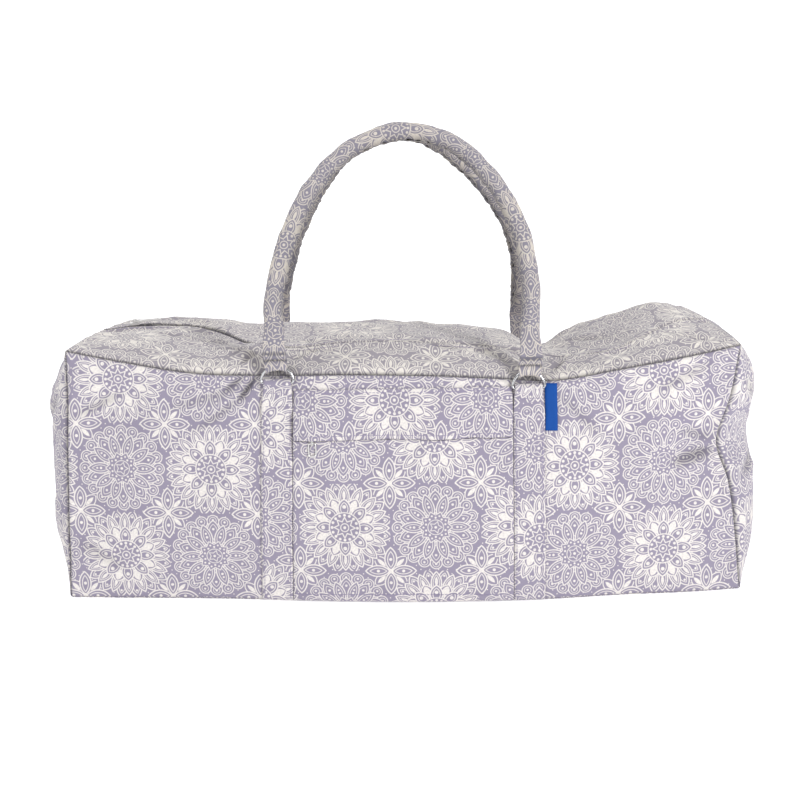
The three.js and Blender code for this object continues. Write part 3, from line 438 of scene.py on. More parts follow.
class Arithmetic:
    """Shader arithmetic: each call adds one node to a tree and returns its output."""

    def __init__(self, tree):
        self.tree = tree

    def put(self, node, inputs, output=0):
        for socket, value in zip(node.inputs, inputs):
            if isinstance(value, bpy.types.NodeSocket):
                self.tree.links.new(value, socket)
            else:
                socket.default_value = value
        return node.outputs[output]

    def __call__(self, operation, *inputs, clamp=False):
        node = self.tree.nodes.new("ShaderNodeMath")
        node.operation = operation
        node.use_clamp = clamp
        return self.put(node, inputs)

    def length(self, u, v):
        pair = self.put(self.tree.nodes.new("ShaderNodeCombineXYZ"), (u, v))
        node = self.tree.nodes.new("ShaderNodeVectorMath")
        node.operation = "LENGTH"
        self.tree.links.new(pair, node.inputs[0])
        return node.outputs["Value"]

    def fold(self, radius, angle, count, turn=0.0):
        """Coordinates along and across the nearest of count spokes."""
        step = 2 * math.pi / count
        local = self("WRAP", self("ADD", angle, turn * step), step / 2, -step / 2)
        return (self("MULTIPLY", radius, self("COSINE", local)),
                self("ABSOLUTE", self("MULTIPLY", radius, self("SINE", local))))

    def leaf(self, spoke, start, end, half_width):
        """Distance to a pointed leaf along a spoke, negative inside."""
        along, across = spoke
        reach = (end - start) / 2
        back = (reach**2 - half_width**2) / (2 * half_width)
        out = self.length(self("SUBTRACT", along, (start + end) / 2), self("ADD", across, back))
        return self("SUBTRACT", out, half_width + back)

    def disc(self, spoke, at, radius):
        return self("SUBTRACT", self.length(self("SUBTRACT", spoke[0], at), spoke[1]), radius)

    def star(self, spoke, tip, count, depth):
        """Distance to a star with its points on the spokes."""
        half = math.pi / count
        valley = tip - depth
        direction = math.atan2(tip - valley * math.cos(half), valley * math.sin(half))
        part = self("MULTIPLY", spoke[0], math.cos(direction))
        whole = self("MULTIPLY_ADD", spoke[1], math.sin(direction), part)
        return self("SUBTRACT", whole, tip * math.cos(direction))

    def cover(self, canvas, distance):
        """Clears the canvas inside a shape."""
        outside = self("MULTIPLY_ADD", distance, 1 / INK_SOFT, 0.5, clamp=True)
        return self("MULTIPLY", canvas, outside)

    def fill(self, canvas, distance):
        inside = self("MULTIPLY_ADD", distance, -1 / INK_SOFT, 0.5, clamp=True)
        return self("MAXIMUM", canvas, inside)

    def line(self, canvas, distance, width):
        edge = self("MULTIPLY_ADD", self("ABSOLUTE", distance), -1 / INK_SOFT, 0.5 + width / 2 / INK_SOFT,
                    clamp=True)
        return self("MAXIMUM", canvas, edge)

    def petal(self, canvas, distance, width):
        """A shape in ground colour with an ink outline, over what is behind it."""
        return self.line(self.cover(canvas, distance), distance, width)


def polar(m, u, v, u_shift, v_shift):
    """Polar coordinates about the middle of the cell that a point is in."""
    half = PRINT_CELL / 2
    x = m("WRAP", m("ADD", u, u_shift), half, -half)
    y = m("WRAP", m("ADD", v, v_shift), half, -half)
    return m.length(x, y), m("ARCTAN2", y, x)


# Motifs, drawn in this order: what is drawn, count and turn of its spokes, shape, the shape's sizes in
# millimetres, and the width of its line
FILLER = (
    ("petal", 4, 0.5, "leaf", (3, 21, 5.2), 1.0),
    ("fill", 4, 0.5, "leaf", (7, 18, 1.9), 0),
    ("petal", 4, 0, "leaf", (1, 24, 5.6), 1.2),
    ("line", 4, 0, "leaf", (4, 20, 3.0), 0.8),
    ("fill", 4, 0, "disc", (12, 1.5), 0),
    ("fill", 0, 0, "round", 2.4, 0),
)

# Bright medallion: rings of sixteen and eight leaves, with filled drops
LOTUS = (
    ("cover", 0, 0, "round", 42.5, 0),
    ("petal", 16, 0.5, "leaf", (24, 45, 5.4), 1.1),
    ("line", 16, 0.5, "leaf", (29, 41.5, 2.9), 0.7),
    ("fill", 16, 0.5, "disc", (38.6, 1.1), 0),
    ("petal", 16, 0, "leaf", (19, 42, 4.9), 1.2),
    ("line", 16, 0, "leaf", (22, 39, 3.1), 0.7),
    ("fill", 16, 0, "leaf", (27, 37, 1.5), 0),
    ("petal", 8, 0.5, "leaf", (11, 30.5, 6.4), 1.2),
    ("fill", 8, 0.5, "leaf", (17, 29, 3.4), 0),
    ("petal", 8, 0, "leaf", (9, 28, 5.9), 1.3),
    ("line", 8, 0, "leaf", (12, 25, 3.5), 0.8),
    ("fill", 8, 0, "disc", (20.5, 1.8), 0),
    ("cover", 0, 0, "round", 14.6, 0),
    ("line", 0, 0, "round", 14.6, 1.1),
    ("fill", 16, 0, "disc", (12.0, 1.35), 0),
    ("petal", 8, 0, "star", (10.0, 8, 4.0), 1.0),
    ("line", 0, 0, "round", 3.8, 0.9),
    ("fill", 0, 0, "round", 1.4, 0),
)

# Quieter medallion: scallops, kites and rings of small beads in thin lines
WHEEL = (
    ("cover", 0, 0, "round", 40, 0),
    ("petal", 20, 0, "disc", (35.5, 5.6), 0.9),
    ("line", 20, 0, "disc", (36, 3.2), 0.6),
    ("fill", 20, 0, "disc", (36.4, 1.1), 0),
    ("petal", 10, 0.5, "leaf", (14, 36, 6.0), 0.9),
    ("line", 10, 0.5, "leaf", (17.5, 32.5, 3.8), 0.6),
    ("fill", 10, 0.5, "disc", (27.5, 1.2), 0),
    ("petal", 10, 0, "leaf", (9, 33, 5.0), 1.0),
    ("line", 10, 0, "leaf", (13, 29, 2.9), 0.6),
    ("fill", 10, 0, "disc", (24, 1.0), 0),
    ("fill", 10, 0, "disc", (20.4, 1.2), 0),
    ("petal", 10, 0, "star", (15.8, 10, 3.6), 0.8),
    ("fill", 10, 0.5, "disc", (9.6, 1.0), 0),
    ("fill", 10, 0, "disc", (11.6, 0.9), 0),
    ("line", 0, 0, "round", 7.4, 0.7),
    ("petal", 5, 0, "star", (6.0, 5, 2.6), 0.7),
    ("fill", 0, 0, "round", 1.3, 0),
)


def motif(m, canvas, radius, angle, rows):
    """Draws a motif over a canvas, about the middle of a cell."""
    spokes = {}
    shapes = {"leaf": m.leaf, "disc": m.disc, "star": m.star}
    ways = {"petal": m.petal, "line": m.line, "fill": m.fill, "cover": m.cover}
    for way, count, turn, shape, sizes, width in rows:
        if shape == "round":
            distance = m("SUBTRACT", radius, sizes)
        else:
            if (count, turn) not in spokes:
                spokes[count, turn] = m.fold(radius, angle, count, turn)
            distance = shapes[shape](spokes[count, turn], *sizes)
        canvas = ways[way](canvas, distance, width) if width else ways[way](canvas, distance)
    return canvas


def print_group():
    """Node group from a place on the cut cloth, in millimetres, to the share of ink there."""
    group = bpy.data.node_groups.new("medallion_print", "ShaderNodeTree")
    group.interface.new_socket("Cloth", in_out="INPUT", socket_type="NodeSocketVector")
    group.interface.new_socket("Ink", in_out="OUTPUT", socket_type="NodeSocketFloat")
    source = group.nodes.new("NodeGroupInput")
    sink = group.nodes.new("NodeGroupOutput")
    m = Arithmetic(group)
    parts = group.nodes.new("ShaderNodeSeparateXYZ")
    group.links.new(source.outputs["Cloth"], parts.inputs[0])
    u, v = parts.outputs[0], parts.outputs[1]
    half = PRINT_CELL / 2
    corner_radius, corner_angle = polar(m, u, v, half, half)
    diagonals = (m("WRAP", m(way, u, v), DOT_SPACING, -DOT_SPACING) for way in ("ADD", "SUBTRACT"))
    dots = m.length(*diagonals)
    canvas = m("MULTIPLY_ADD", dots, -1 / INK_SOFT, 0.5 + DOT_RADIUS / INK_SOFT, clamp=True)
    canvas = motif(m, canvas, corner_radius, corner_angle, FILLER)
    radius, angle = polar(m, u, v, 0, 0)
    row = m("ROUND", m("DIVIDE", u, PRINT_CELL))
    rank = m("ROUND", m("DIVIDE", v, PRINT_CELL))
    odd = m("FLOORED_MODULO", m("ADD", row, rank), 2.0)
    bright = motif(m, canvas, radius, angle, LOTUS)
    quiet = motif(m, canvas, radius, angle, WHEEL)
    chosen = m("ADD", m("MULTIPLY", bright, m("SUBTRACT", 1.0, odd)), m("MULTIPLY", quiet, odd))
    group.links.new(chosen, sink.inputs[0])
    return group


# Materials

def new_material(name, colour, roughness, metallic=0.0):
    material = bpy.data.materials.new(name)
    material.use_nodes = True
    shader = material.node_tree.nodes["Principled BSDF"]
    shader.inputs["Base Color"].default_value = colour
    shader.inputs["Roughness"].default_value = roughness
    shader.inputs["Metallic"].default_value = metallic
    return material, shader


def weave_bump(tree, m, cloth, pitch, depth):
    """Normal of a plain weave with the given thread spacing, in millimetres."""
    parts = tree.nodes.new("ShaderNodeSeparateXYZ")
    tree.links.new(cloth, parts.inputs[0])
    number = math.pi / pitch
    threads = m("MULTIPLY", m("SINE", m("MULTIPLY", parts.outputs[0], number)),
                m("SINE", m("MULTIPLY", parts.outputs[1], number)))
    noise = tree.nodes.new("ShaderNodeTexNoise")
    noise.inputs["Scale"].default_value = 0.9
    noise.inputs["Detail"].default_value = 3
    tree.links.new(cloth, noise.inputs["Vector"])
    bump = tree.nodes.new("ShaderNodeBump")
    bump.inputs["Strength"].default_value = 0.35
    bump.inputs["Distance"].default_value = depth * MM
    tree.links.new(m("ADD", m("MULTIPLY", threads, 0.5), noise.outputs["Fac"]), bump.inputs["Height"])
    return bump.outputs[0]


def cloth_place(tree):
    place = tree.nodes.new("ShaderNodeAttribute")
    place.attribute_name = "cloth"
    return place.outputs["Vector"]


def printed(name, group, ground=GROUND, ink=INK):
    """Matte canvas with the medallion print, darkened by the painted shade that the cloth attribute carries.
    """
    material, shader = new_material(name, ground, 0.88)
    tree = material.node_tree
    m = Arithmetic(tree)
    cloth = cloth_place(tree)
    pattern = tree.nodes.new("ShaderNodeGroup")
    pattern.node_tree = group
    tree.links.new(cloth, pattern.inputs[0])
    wear = tree.nodes.new("ShaderNodeTexNoise")
    wear.inputs["Scale"].default_value = 0.55
    wear.inputs["Detail"].default_value = 4
    tree.links.new(cloth, wear.inputs["Vector"])
    cover = m("MULTIPLY_ADD", wear.outputs["Fac"], 0.9, 0.42, clamp=True)
    share = m("MULTIPLY", m("MULTIPLY", pattern.outputs[0], cover), INK_STRENGTH)
    colours = tree.nodes.new("ShaderNodeMix")
    colours.data_type = "RGBA"
    colours.inputs["A"].default_value = ground
    colours.inputs["B"].default_value = ink
    tree.links.new(share, colours.inputs["Factor"])
    # The colour is scaled down by the painted shade in the cloth attribute's third part
    parts = tree.nodes.new("ShaderNodeSeparateXYZ")
    tree.links.new(cloth, parts.inputs[0])
    painted_shade_scale = tree.nodes.new("ShaderNodeVectorMath")
    painted_shade_scale.operation = "SCALE"
    tree.links.new(colours.outputs["Result"], painted_shade_scale.inputs[0])
    tree.links.new(m("SUBTRACT", 1.0, parts.outputs[2]), painted_shade_scale.inputs["Scale"])
    tree.links.new(painted_shade_scale.outputs[0], shader.inputs["Base Color"])
    tree.links.new(weave_bump(tree, m, cloth, 0.55, 0.12), shader.inputs["Normal"])
    shader.inputs["Sheen Weight"].default_value = 0.12
    shader.inputs["Sheen Roughness"].default_value = 0.6
    return material


def plain_cloth(name, colour, roughness=0.85, pitch=0.5, sheen=0.1):
    material, shader = new_material(name, colour, roughness)
    tree = material.node_tree
    m = Arithmetic(tree)
    tree.links.new(weave_bump(tree, m, cloth_place(tree), pitch, 0.1), shader.inputs["Normal"])
    shader.inputs["Sheen Weight"].default_value = sheen
    return material


pattern_group = print_group()
canvas = printed("printed_canvas", pattern_group)
# The top gets its own colours of the same print as painted light
top_canvas = printed("printed_canvas_top_painted_light", pattern_group, TOP_GROUND, TOP_INK)
# The handles get their own dimmer colours of the same print as painted shade
handle_canvas = printed("printed_canvas_handle_painted_shade", pattern_group, HANDLE_GROUND, HANDLE_INK)
zip_cloth = plain_cloth("zip_cloth", (0.12, 0.105, 0.17, 1))
label_cloth = plain_cloth("label_ribbon", (0.004, 0.058, 0.27, 1), 0.7, 0.35, 0.0)
label_cloth.node_tree.nodes["Principled BSDF"].inputs["Specular IOR Level"].default_value = 0.2
thread = new_material("thread", (0.25, 0.22, 0.33, 1), 0.75)[0]
steel = new_material("ring_metal", (0.50, 0.50, 0.51, 1), 0.18, 1.0)[0]
zip_steel = new_material("zip_metal", (0.72, 0.71, 0.70, 1), 0.3, 1.0)[0]
zip_teeth = new_material("zip_teeth", (0.13, 0.115, 0.18, 1), 0.45)[0]


# Cloth relief

# The first eight numbers are painted shade: how dark the cloth is painted beside seams, at the zip's hem, in
# the valleys of folds and round the rings, and how far it reaches in millimetres
SEAM_DARKNESS = 0.62
SEAM_DARK_REACH = 1.9
HEM_DARKNESS = 0.7
HEM_DARK_REACH = 2.2
FOLD_DARKNESS = 0.2
TOP_FOLD_DARKNESS = 0.12
RING_DARKNESS = 0.42
RING_DARK_REACH = (21, 11)
PLAIN_SEAM = 0.3
PINCHED_SEAM = 0.9
TUCK = 3.0
TUCK_DEPTH = 2.0
SETTLE = 6.0
SEAM_BANK = 1.3
BANK_MIDDLE = 5.5
BANK_REACH = 3.0

# Share of the waves that is left, the waves of the cloth as wavelength and height, and the gathers beside
# seams as shift of the seed, wavelength, reach and height
CALM = 0.8
CLOTH_WAVES = ((95, 1.1), (34, 0.40), (13, 0.12))
SEAM_RIPPLES = ((10, 13, 11, 0.55), (20, 36, 34, 0.9))


def tuck(distance, deep=1.0):
    """How far a panel's edge turns into its seam, by distance from the seam."""
    inside = np.clip(1 - distance / (TUCK * deep), 0, 1)
    return TUCK_DEPTH * deep * (1 - np.sqrt(1 - inside**2))


def settle(distances):
    """Share of the relief left beside seams, where neighbouring panels have to meet."""
    share = 1
    for away in distances:
        share = share * (1 - np.exp(-(away / SETTLE) ** 2))
    return share


def painted_seam_shade(distances, amount=SEAM_DARKNESS, reach=SEAM_DARK_REACH):
    """Painted shade beside seams: how dark the cloth is painted where shade falls into them."""
    shade = 0
    for away in distances:
        shade = np.maximum(shade, amount * np.exp(-(away / reach) ** 2))
    return shade


def end_seam(c, side, across):
    """Depth of an upright end seam by height: the right front one is pinched deep by its dent."""
    return 1 + (PINCHED_SEAM if side > 0 and across < 0 else PLAIN_SEAM) * (1 - c**4)


def ripple(seed, along, away, wavelength, reach, height):
    """Gathers beside a seam: folds across it that die away from it."""
    field = Waves(seed, wavelength, 10)(along, 0.3 * away)
    return height * field * np.exp(-away / reach) * (1 - np.exp(-away / (0.15 * reach)))


def relief(seed, s, t, edges):
    """Height of the cloth over the smooth surface. edges: (distance, place along, gather) of each seam."""
    height = 0
    for number, (wavelength, rise) in enumerate(CLOTH_WAVES):
        height = height + CALM * rise * Waves(seed + number, wavelength)(s, t)
    for number, (away, along, gather) in enumerate(edges):
        for shift, wavelength, reach, rise in SEAM_RIPPLES:
            height = height + ripple(seed + shift + number, along, away, wavelength, reach, rise * gather)
        height = height + SEAM_BANK * gather * np.exp(-((away - BANK_MIDDLE) / BANK_REACH) ** 2)
    return height


def beside_fold(s, t, start, end):
    """Place along a fold, as a share of its length, and distance to the side of it."""
    start, end = np.array(start, float), np.array(end, float)
    long = np.hypot(*(end - start))
    direction = (end - start) / long
    along = ((s - start[0]) * direction[0] + (t - start[1]) * direction[1]) / long
    return along, -(s - start[0]) * direction[1] + (t - start[1]) * direction[0]


def folded(s, t, folds):
    """Height of folds, each deepest in its middle, with a raised bank beside it."""
    height = 0
    for start, end, width, depth in folds:
        along, beside = beside_fold(s, t, start, end)
        v = beside / width
        taper = np.exp(-((along - 0.5) / 0.38) ** 4)
        height = height + depth * taper * (1.35 * np.exp(-(v + 1.3) ** 2) - 1.6 * np.exp(-(v**2) * 1.6))
    return height


def valley(s, t, folds, rate=FOLD_DARKNESS):
    """Painted shade in the valleys of folds: how dark the cloth is painted there."""
    shade = 0
    for start, end, width, depth in folds:
        along, beside = beside_fold(s, t, start, end)
        fade = ((along - 0.5) / 0.45) ** 4 + (beside / (0.8 * width)) ** 2
        shade = np.maximum(shade, rate * depth * np.exp(-fade))
    return shade


def ring_shade(x, distance, side):
    """Painted shade around the rings, by place along the bag and distance from the top seam."""
    shade = 0
    wide, deep = RING_DARK_REACH
    for _, band_side, _, top in STRAPS:
        if band_side == side:
            away = ((x - HALF_LENGTH * top) / wide) ** 2 + (distance / deep) ** 2
            shade = np.maximum(shade, RING_DARKNESS * np.exp(-(away**2)))
    return shade


def wall_places(side, a, c):
    """Distances on a wall: along it, up it, and from its four seams."""
    x = HALF_LENGTH * a
    rise = seam_height(a, side)
    z = rise * (c + 1) / 2
    return x, z, (x + HALF_LENGTH, HALF_LENGTH - x, z, rise - z)


# Folds of the walls: start, end, half width and depth, in millimetres along and up
FRONT_CREASES = (
    ((-134, 226), (-158, 195), 3.4, 3.4),
    ((-146, 224), (-174, 203), 3.0, 2.2),
    ((84, 220), (100, 211), 3.0, 2.0),
    ((-150, 203), (-200, 168), 4.5, 1.2),
    ((-160, 208), (-225, 190), 5.0, 1.0),
    ((262, 128), (318, 140), 6.0, 2.2),
    ((270, 160), (318, 150), 5.0, 1.2),
    ((-318, 182), (-270, 205), 5.0, 1.2),
    ((-322, 60), (-270, 30), 7.0, 1.0),
    ((145, 200), (185, 160), 5.0, 0.9),
    ((240, 200), (300, 225), 6.0, 1.0),
)
BACK_CREASES = (
    ((-150, 200), (-190, 150), 5.0, 1.3),
    ((150, 196), (200, 150), 5.0, 1.3),
    ((-60, 190), (60, 175), 8.0, 1.2),
    ((260, 120), (315, 150), 6.0, 1.6),
    ((-310, 120), (-250, 140), 6.0, 1.4),
)
END_CREASES = (
    ((-95, 205), (-45, 160), 6.0, 1.6),
    ((95, 200), (40, 150), 6.0, 1.6),
    ((-95, 110), (-50, 125), 6.0, 1.6),
    ((20, 190), (70, 215), 6.0, 1.2),
)

# Folds of the top: start, end, half width and depth, in millimetres along and across
TOP_CREASES = (
    ((-158, -108), (-130, -78), 4.0, 2.2),
    ((-170, -92), (-132, -66), 4.0, 1.6),
    ((-108, -100), (-80, -70), 4.0, 1.6),
    ((104, -104), (84, -66), 4.0, 1.8),
    ((140, -106), (156, -80), 4.0, 1.6),
    ((-250, -20), (-160, -48), 7.0, 1.6),
    ((-200, -60), (-130, -85), 5.0, 1.4),
    ((-120, -30), (-60, -62), 7.0, 1.4),
    ((-30, -50), (60, -70), 8.0, 1.6),
    ((70, -30), (120, -75), 7.0, 1.6),
    ((130, -85), (190, -50), 6.0, 2.0),
    ((150, 20), (210, -20), 7.0, 2.0),
    ((180, 70), (250, 40), 7.0, 1.8),
    ((250, -60), (300, -85), 6.0, 1.4),
    ((-290, 40), (-220, 70), 7.0, 1.4),
    ((-60, 60), (20, 85), 8.0, 1.4),
    ((90, 90), (140, 60), 6.0, 1.8),
)
WALL_CREASES = {FRONT: FRONT_CREASES, BACK: BACK_CREASES}

# How far the bands calm the wall beneath them, in widths of a band, and by what share
BAND_REACH = 0.75
BAND_CALM = 0.75


def wall_relief(side, a, c):
    x, z, (left, right, foot, rim) = wall_places(side, a, c)
    edges = ((left, z, 1.0), (right, z, 1.5), (foot, x, 0.5), (rim, x, 1.0))
    height = relief(40 if side == FRONT else 60, x, z, edges)
    height = height + folded(x, z, WALL_CREASES[side])
    covered = 0
    for _, band_side, foot_at, top_at in STRAPS:
        if band_side == side:
            middle = HALF_LENGTH * mix(foot_at, top_at, (c + 1) / 2)
            covered = np.maximum(covered, np.exp(-((x - middle) / (BAND_REACH * STRAP_WIDTH)) ** 4))
    return height * (1 - BAND_CALM * covered) * settle((left, right, foot, rim))


def place_on_wall(side, x, height, offset):
    """Points over the dressed front or back wall: they follow its relief and turn into the base seam."""
    point = off_wall(side, x, height, offset)
    a = np.asarray(x, float) / HALF_LENGTH
    c = 2 * np.asarray(height, float) / seam_height(a, side) - 1
    sunk = tuck(np.asarray(height, float))
    point[..., 1] += side * (wall_relief(side, a, np.clip(c, -1, 1)) - sunk)
    point[..., 2] += sunk
    return point


def normals(points):
    """Unit normals of a grid of points."""
    along = np.gradient(points, axis=0)
    across = np.gradient(points, axis=1)
    return unit(np.cross(along, across))


def facing(points, direction):
    """Normals turned towards a direction or the same way as an array of directions."""
    n = normals(points)
    return n * np.sign(dot(n, np.asarray(direction, float)) + 1e-12)


def pull(points, edges, face):
    """Turns the edges of a panel into their seams. edges: (distance, way out, depth) of each seam."""
    sunk = 0
    for away, out, deep in edges:
        turned = tuck(away, deep)[..., None]
        points = points - turned * np.array(out, float)
        sunk = np.maximum(sunk, turned)
    return points - sunk * np.array(face, float)


along_places = with_edges(-HALF_LENGTH, HALF_LENGTH, GRID_STEP, EDGE_REACH) / HALF_LENGTH
up_places = with_edges(-1, 1, 2 * GRID_STEP / HEIGHT, 2 * EDGE_REACH / HEIGHT)


def wall(name, side, offset):
    """Front or back wall."""
    c, a = np.meshgrid(up_places, along_places, indexing="ij")
    points = body(a, side, c)
    out = facing(points, (0, side, 0))
    x, z, (left, right, foot, rim) = wall_places(side, a, c)
    points = points + wall_relief(side, a, c)[..., None] * out
    seams = ((left, (-1, 0, 0), end_seam(c, -1, side)), (right, (1, 0, 0), end_seam(c, 1, side)),
             (foot, (0, 0, -1), 1), (rim, (0, 0, 1), 1))
    points = pull(points, seams, (0, side, 0))
    points[..., 2] = np.maximum(points[..., 2], FLOOR_CLEARANCE)
    # Painted shade beside the seams, round the rings and in the valleys of folds, carried to the material as
    # the cloth's third part
    shade = np.maximum(painted_seam_shade((left, right, foot, rim)), ring_shade(x, rim, side))
    shade = np.maximum(shade, valley(x, z, WALL_CREASES[side]))
    cloth = np.stack([points[..., 0] + offset[0], z + offset[1], shade], axis=-1)
    return finish_piece(sheet(name, points, cloth), canvas, [name])


def end_wall(name, side, offset):
    """Left or right end."""
    across_places = with_edges(-1, 1, GRID_STEP / HALF_DEPTH, EDGE_REACH / HALF_DEPTH)
    c, b = np.meshgrid(up_places, across_places, indexing="ij")
    points = body(side, b, c)
    out = facing(points, (side, 0, 0))
    y, z = points[..., 1], points[..., 2]
    front, back = (b + 1) * HALF_DEPTH, (1 - b) * HALF_DEPTH
    foot, rim = (c + 1) * HEIGHT / 2, (1 - c) * HEIGHT / 2
    edges = ((front, z, 0.8), (back, z, 0.6), (foot, y, 0.5), (rim, y, 0.6))
    height = relief(80 if side < 0 else 100, y, z, edges) + folded(side * y, z, END_CREASES)
    points = points + (height * settle((front, back, foot, rim)))[..., None] * out
    seams = ((front, (0, -1, 0), end_seam(c, side, FRONT)), (back, (0, 1, 0), end_seam(c, side, BACK)),
             (foot, (0, 0, -1), 1), (rim, (0, 0, 1), 1))
    points = pull(points, seams, (side, 0, 0))
    points[..., 2] = np.maximum(points[..., 2], FLOOR_CLEARANCE)
    # Painted shade beside the seams and in the valleys of folds, carried to the material as the cloth's third
    # part
    shade = np.maximum(painted_seam_shade((front, back, foot, rim)), valley(side * y, z, END_CREASES))
    cloth = np.stack([y + offset[0], z + offset[1], shade], axis=-1)
    return finish_piece(sheet(name, points, cloth), canvas, [name])


LIP_TURN = 1.4
LIP_RISE = 0.9
LIP_MIDDLE = 3.2
LIP_REACH = 2.2
HEM_AT = 6.5
HEM_DEPTH = 0.5
HEM_REACH = 0.8
HEM_SETTLE = 4
MAIN_SLIDER_AT = -271
SLIDER_REACH = 14
TOP_EDGE_SHARE = 0.035
TOP_CRUMPLE = 0.35
TOP_CRUMPLE_LENGTH = 60
TOP_WAVE = 0.4
TOP_WAVE_LENGTH = 22

# Where the lips come together, right of the slider, and how much of their painted shade is left there
LIPS_MEET = (-130, -100)
CLOSED_HEM_SHARE = 0.25

# How far the lips cover the zip tape, by place along the bag
LIP_COVER = ((-1, 3.4), (-0.45, 3.4), (-0.33, 5.0), (0.33, 5.0), (0.42, 3.6), (0.58, 3.6), (0.66, 5.0),
             (1, 5.0))


def lip_place(a):
    """Place of a folded lip beside the middle of the zip: it covers the tape, less so by the slider."""
    cover = np.interp(a, [row[0] for row in LIP_COVER], [row[1] for row in LIP_COVER])
    cover = cover * (1 - np.exp(-((a * HALF_LENGTH - MAIN_SLIDER_AT) / SLIDER_REACH) ** 2))
    return (SLOT_WIDTH / 2 - cover) / HALF_DEPTH


def top_half(name, side, offset):
    """One half of the top, from its seam to its hem at the zip."""
    shares = with_edges(0, 1, GRID_STEP / HALF_DEPTH, TOP_EDGE_SHARE)
    share, a = np.meshgrid(shares, along_places, indexing="ij")
    inner = section("zip", a) + side * lip_place(a)
    b = mix(side, inner, share)
    points = body(a, b, 1)
    out = facing(points, (0, 0, 1))
    x, y = points[..., 0], points[..., 1]
    rim = np.abs(b - side) * HALF_DEPTH
    hem = np.abs(b - inner) * HALF_DEPTH
    left, right = (a + 1) * HALF_LENGTH, (1 - a) * HALF_LENGTH
    edges = ((left, y, 0.8), (right, y, 0.8), (rim, x, 0.9), (hem, x, 0.7))
    height = relief(120, x, y, edges) + folded(x, y, TOP_CREASES)
    height = height + TOP_CRUMPLE * crumple(131, x, y, TOP_CRUMPLE_LENGTH)
    height = height + TOP_WAVE * Waves(133, TOP_WAVE_LENGTH)(0.35 * x, y)
    height = height * (1 - np.exp(-(hem / HEM_SETTLE) ** 2)) * settle((left, right, rim))
    height = height + LIP_RISE * np.exp(-((hem - LIP_MIDDLE) / LIP_REACH) ** 2)
    height = height - HEM_DEPTH * np.exp(-((hem - HEM_AT) / HEM_REACH) ** 2)
    roll = np.clip(1 - hem / LIP_TURN, 0, 1)
    height = height - LIP_TURN * (1 - np.sqrt(1 - roll**2))
    points = points + height[..., None] * out
    points = pull(points, ((left, (-1, 0, 0), 1), (right, (1, 0, 0), 1), (rim, (0, side, 0), 1)), (0, 0, 1))
    # Painted shade beside the seams, along the zip's hem (less where the lips close), round the rings and in
    # the valleys of folds
    hem_share = np.interp(x, LIPS_MEET, (1, CLOSED_HEM_SHARE))
    shade = np.maximum(painted_seam_shade((left, right, rim)), hem_share * painted_seam_shade((hem,), HEM_DARKNESS, HEM_DARK_REACH))
    folds = valley(x, y, TOP_CREASES, TOP_FOLD_DARKNESS)
    shade = np.maximum(shade, np.maximum(ring_shade(x, rim, side), folds))
    cloth = np.stack([x + offset[0], side * rim + offset[1], shade], axis=-1)
    return finish_piece(sheet(name, points, cloth), top_canvas, [name])


def base(name):
    across_places = with_edges(-1, 1, BASE_STEP / HALF_DEPTH, EDGE_REACH / HALF_DEPTH)
    b, a = np.meshgrid(across_places, along_places[::2], indexing="ij")
    points = body(a, b, -1)
    seams = (((a + 1) * HALF_LENGTH, (-1, 0, 0), 1), ((1 - a) * HALF_LENGTH, (1, 0, 0), 1),
             ((b + 1) * HALF_DEPTH, (0, -1, 0), 1), ((1 - b) * HALF_DEPTH, (0, 1, 0), 1))
    points = pull(points, seams, (0, 0, -1))
    cloth = points[..., :2] + np.array((20, 31))
    return finish_piece(sheet(name, points, cloth), canvas, [name])


# Strips of cloth with thickness

CLOTH_FOOT = 0.6


def rounded_across(count, width):
    """Places across a strip and back, with its share of half the thickness at each."""
    share = np.linspace(-1, 1, count)
    edge = 1 - 0.5 / width
    outer = [(s * edge, 1.0) for s in share]
    inner = [(s * edge, -1.0) for s in share[::-1]]
    return np.array(outer + [(1.0, 0.0)] + inner + [(-1.0, 0.0)])


def strap_path(bar_height):
    """Middle line of a band as distance from the wall and height: up, round the ring's bar and back."""
    turn = RING_WIRE / 2 + RING_CLEARANCE + STRAP_THICKNESS / 2
    bar = LAYER_GAP + STRAP_THICKNESS + RING_CLEARANCE + RING_WIRE / 2
    near = LAYER_GAP + STRAP_THICKNESS / 2
    far = near + STRAP_THICKNESS + LAYER_GAP
    ramp = bar_height - STRAP_FOLD - 2
    path = [(near, z) for z in spaced([CLOTH_FOOT, ramp - 6], 3.0)]
    path += [(mix(near, far, t * t * (3 - 2 * t)), ramp - 6 + 6 * t) for t in (0.25, 0.5, 0.75, 1.0)]
    path += [(far, z) for z in spaced([ramp + 2, bar_height - 5], 2.5)]
    for angle in np.linspace(0, math.pi, 13):
        path.append((bar + turn * math.cos(angle), bar_height + turn * math.sin(angle)))
    path += [(near, z) for z in spaced([bar_height - 4, bar_height - STRAP_FOLD], 3.0)]
    return np.array(path)


def ring_frame(side, top):
    """Middle of a ring's bar and the directions along it, up the ring and out of it."""
    x = HALF_LENGTH * top
    height = rim_height(x, side) - RING_DROP
    bar = off_wall(side, x, height, LAYER_GAP + STRAP_THICKNESS + RING_CLEARANCE + RING_WIRE / 2)
    ends = off_wall(side, x + np.array([-0.5, 0.5]) * STRAP_LOOP_WIDTH, height, 0)
    across = ends[1] - ends[0]
    across[2] = 0
    across = across / np.linalg.norm(across)
    away = side * np.array([-across[1], across[0], 0])
    lean = math.radians(RING_LEAN)
    upright = np.array([0, 0, 1.0])
    return {"bar": bar, "across": across, "height": height,
            "up": upright * math.cos(lean) - away * math.sin(lean),
            "out": away * math.cos(lean) + upright * math.sin(lean)}


def strap_middle(strap, height):
    _, side, foot, top = strap
    return HALF_LENGTH * mix(foot, top, height / seam_height(top, side))


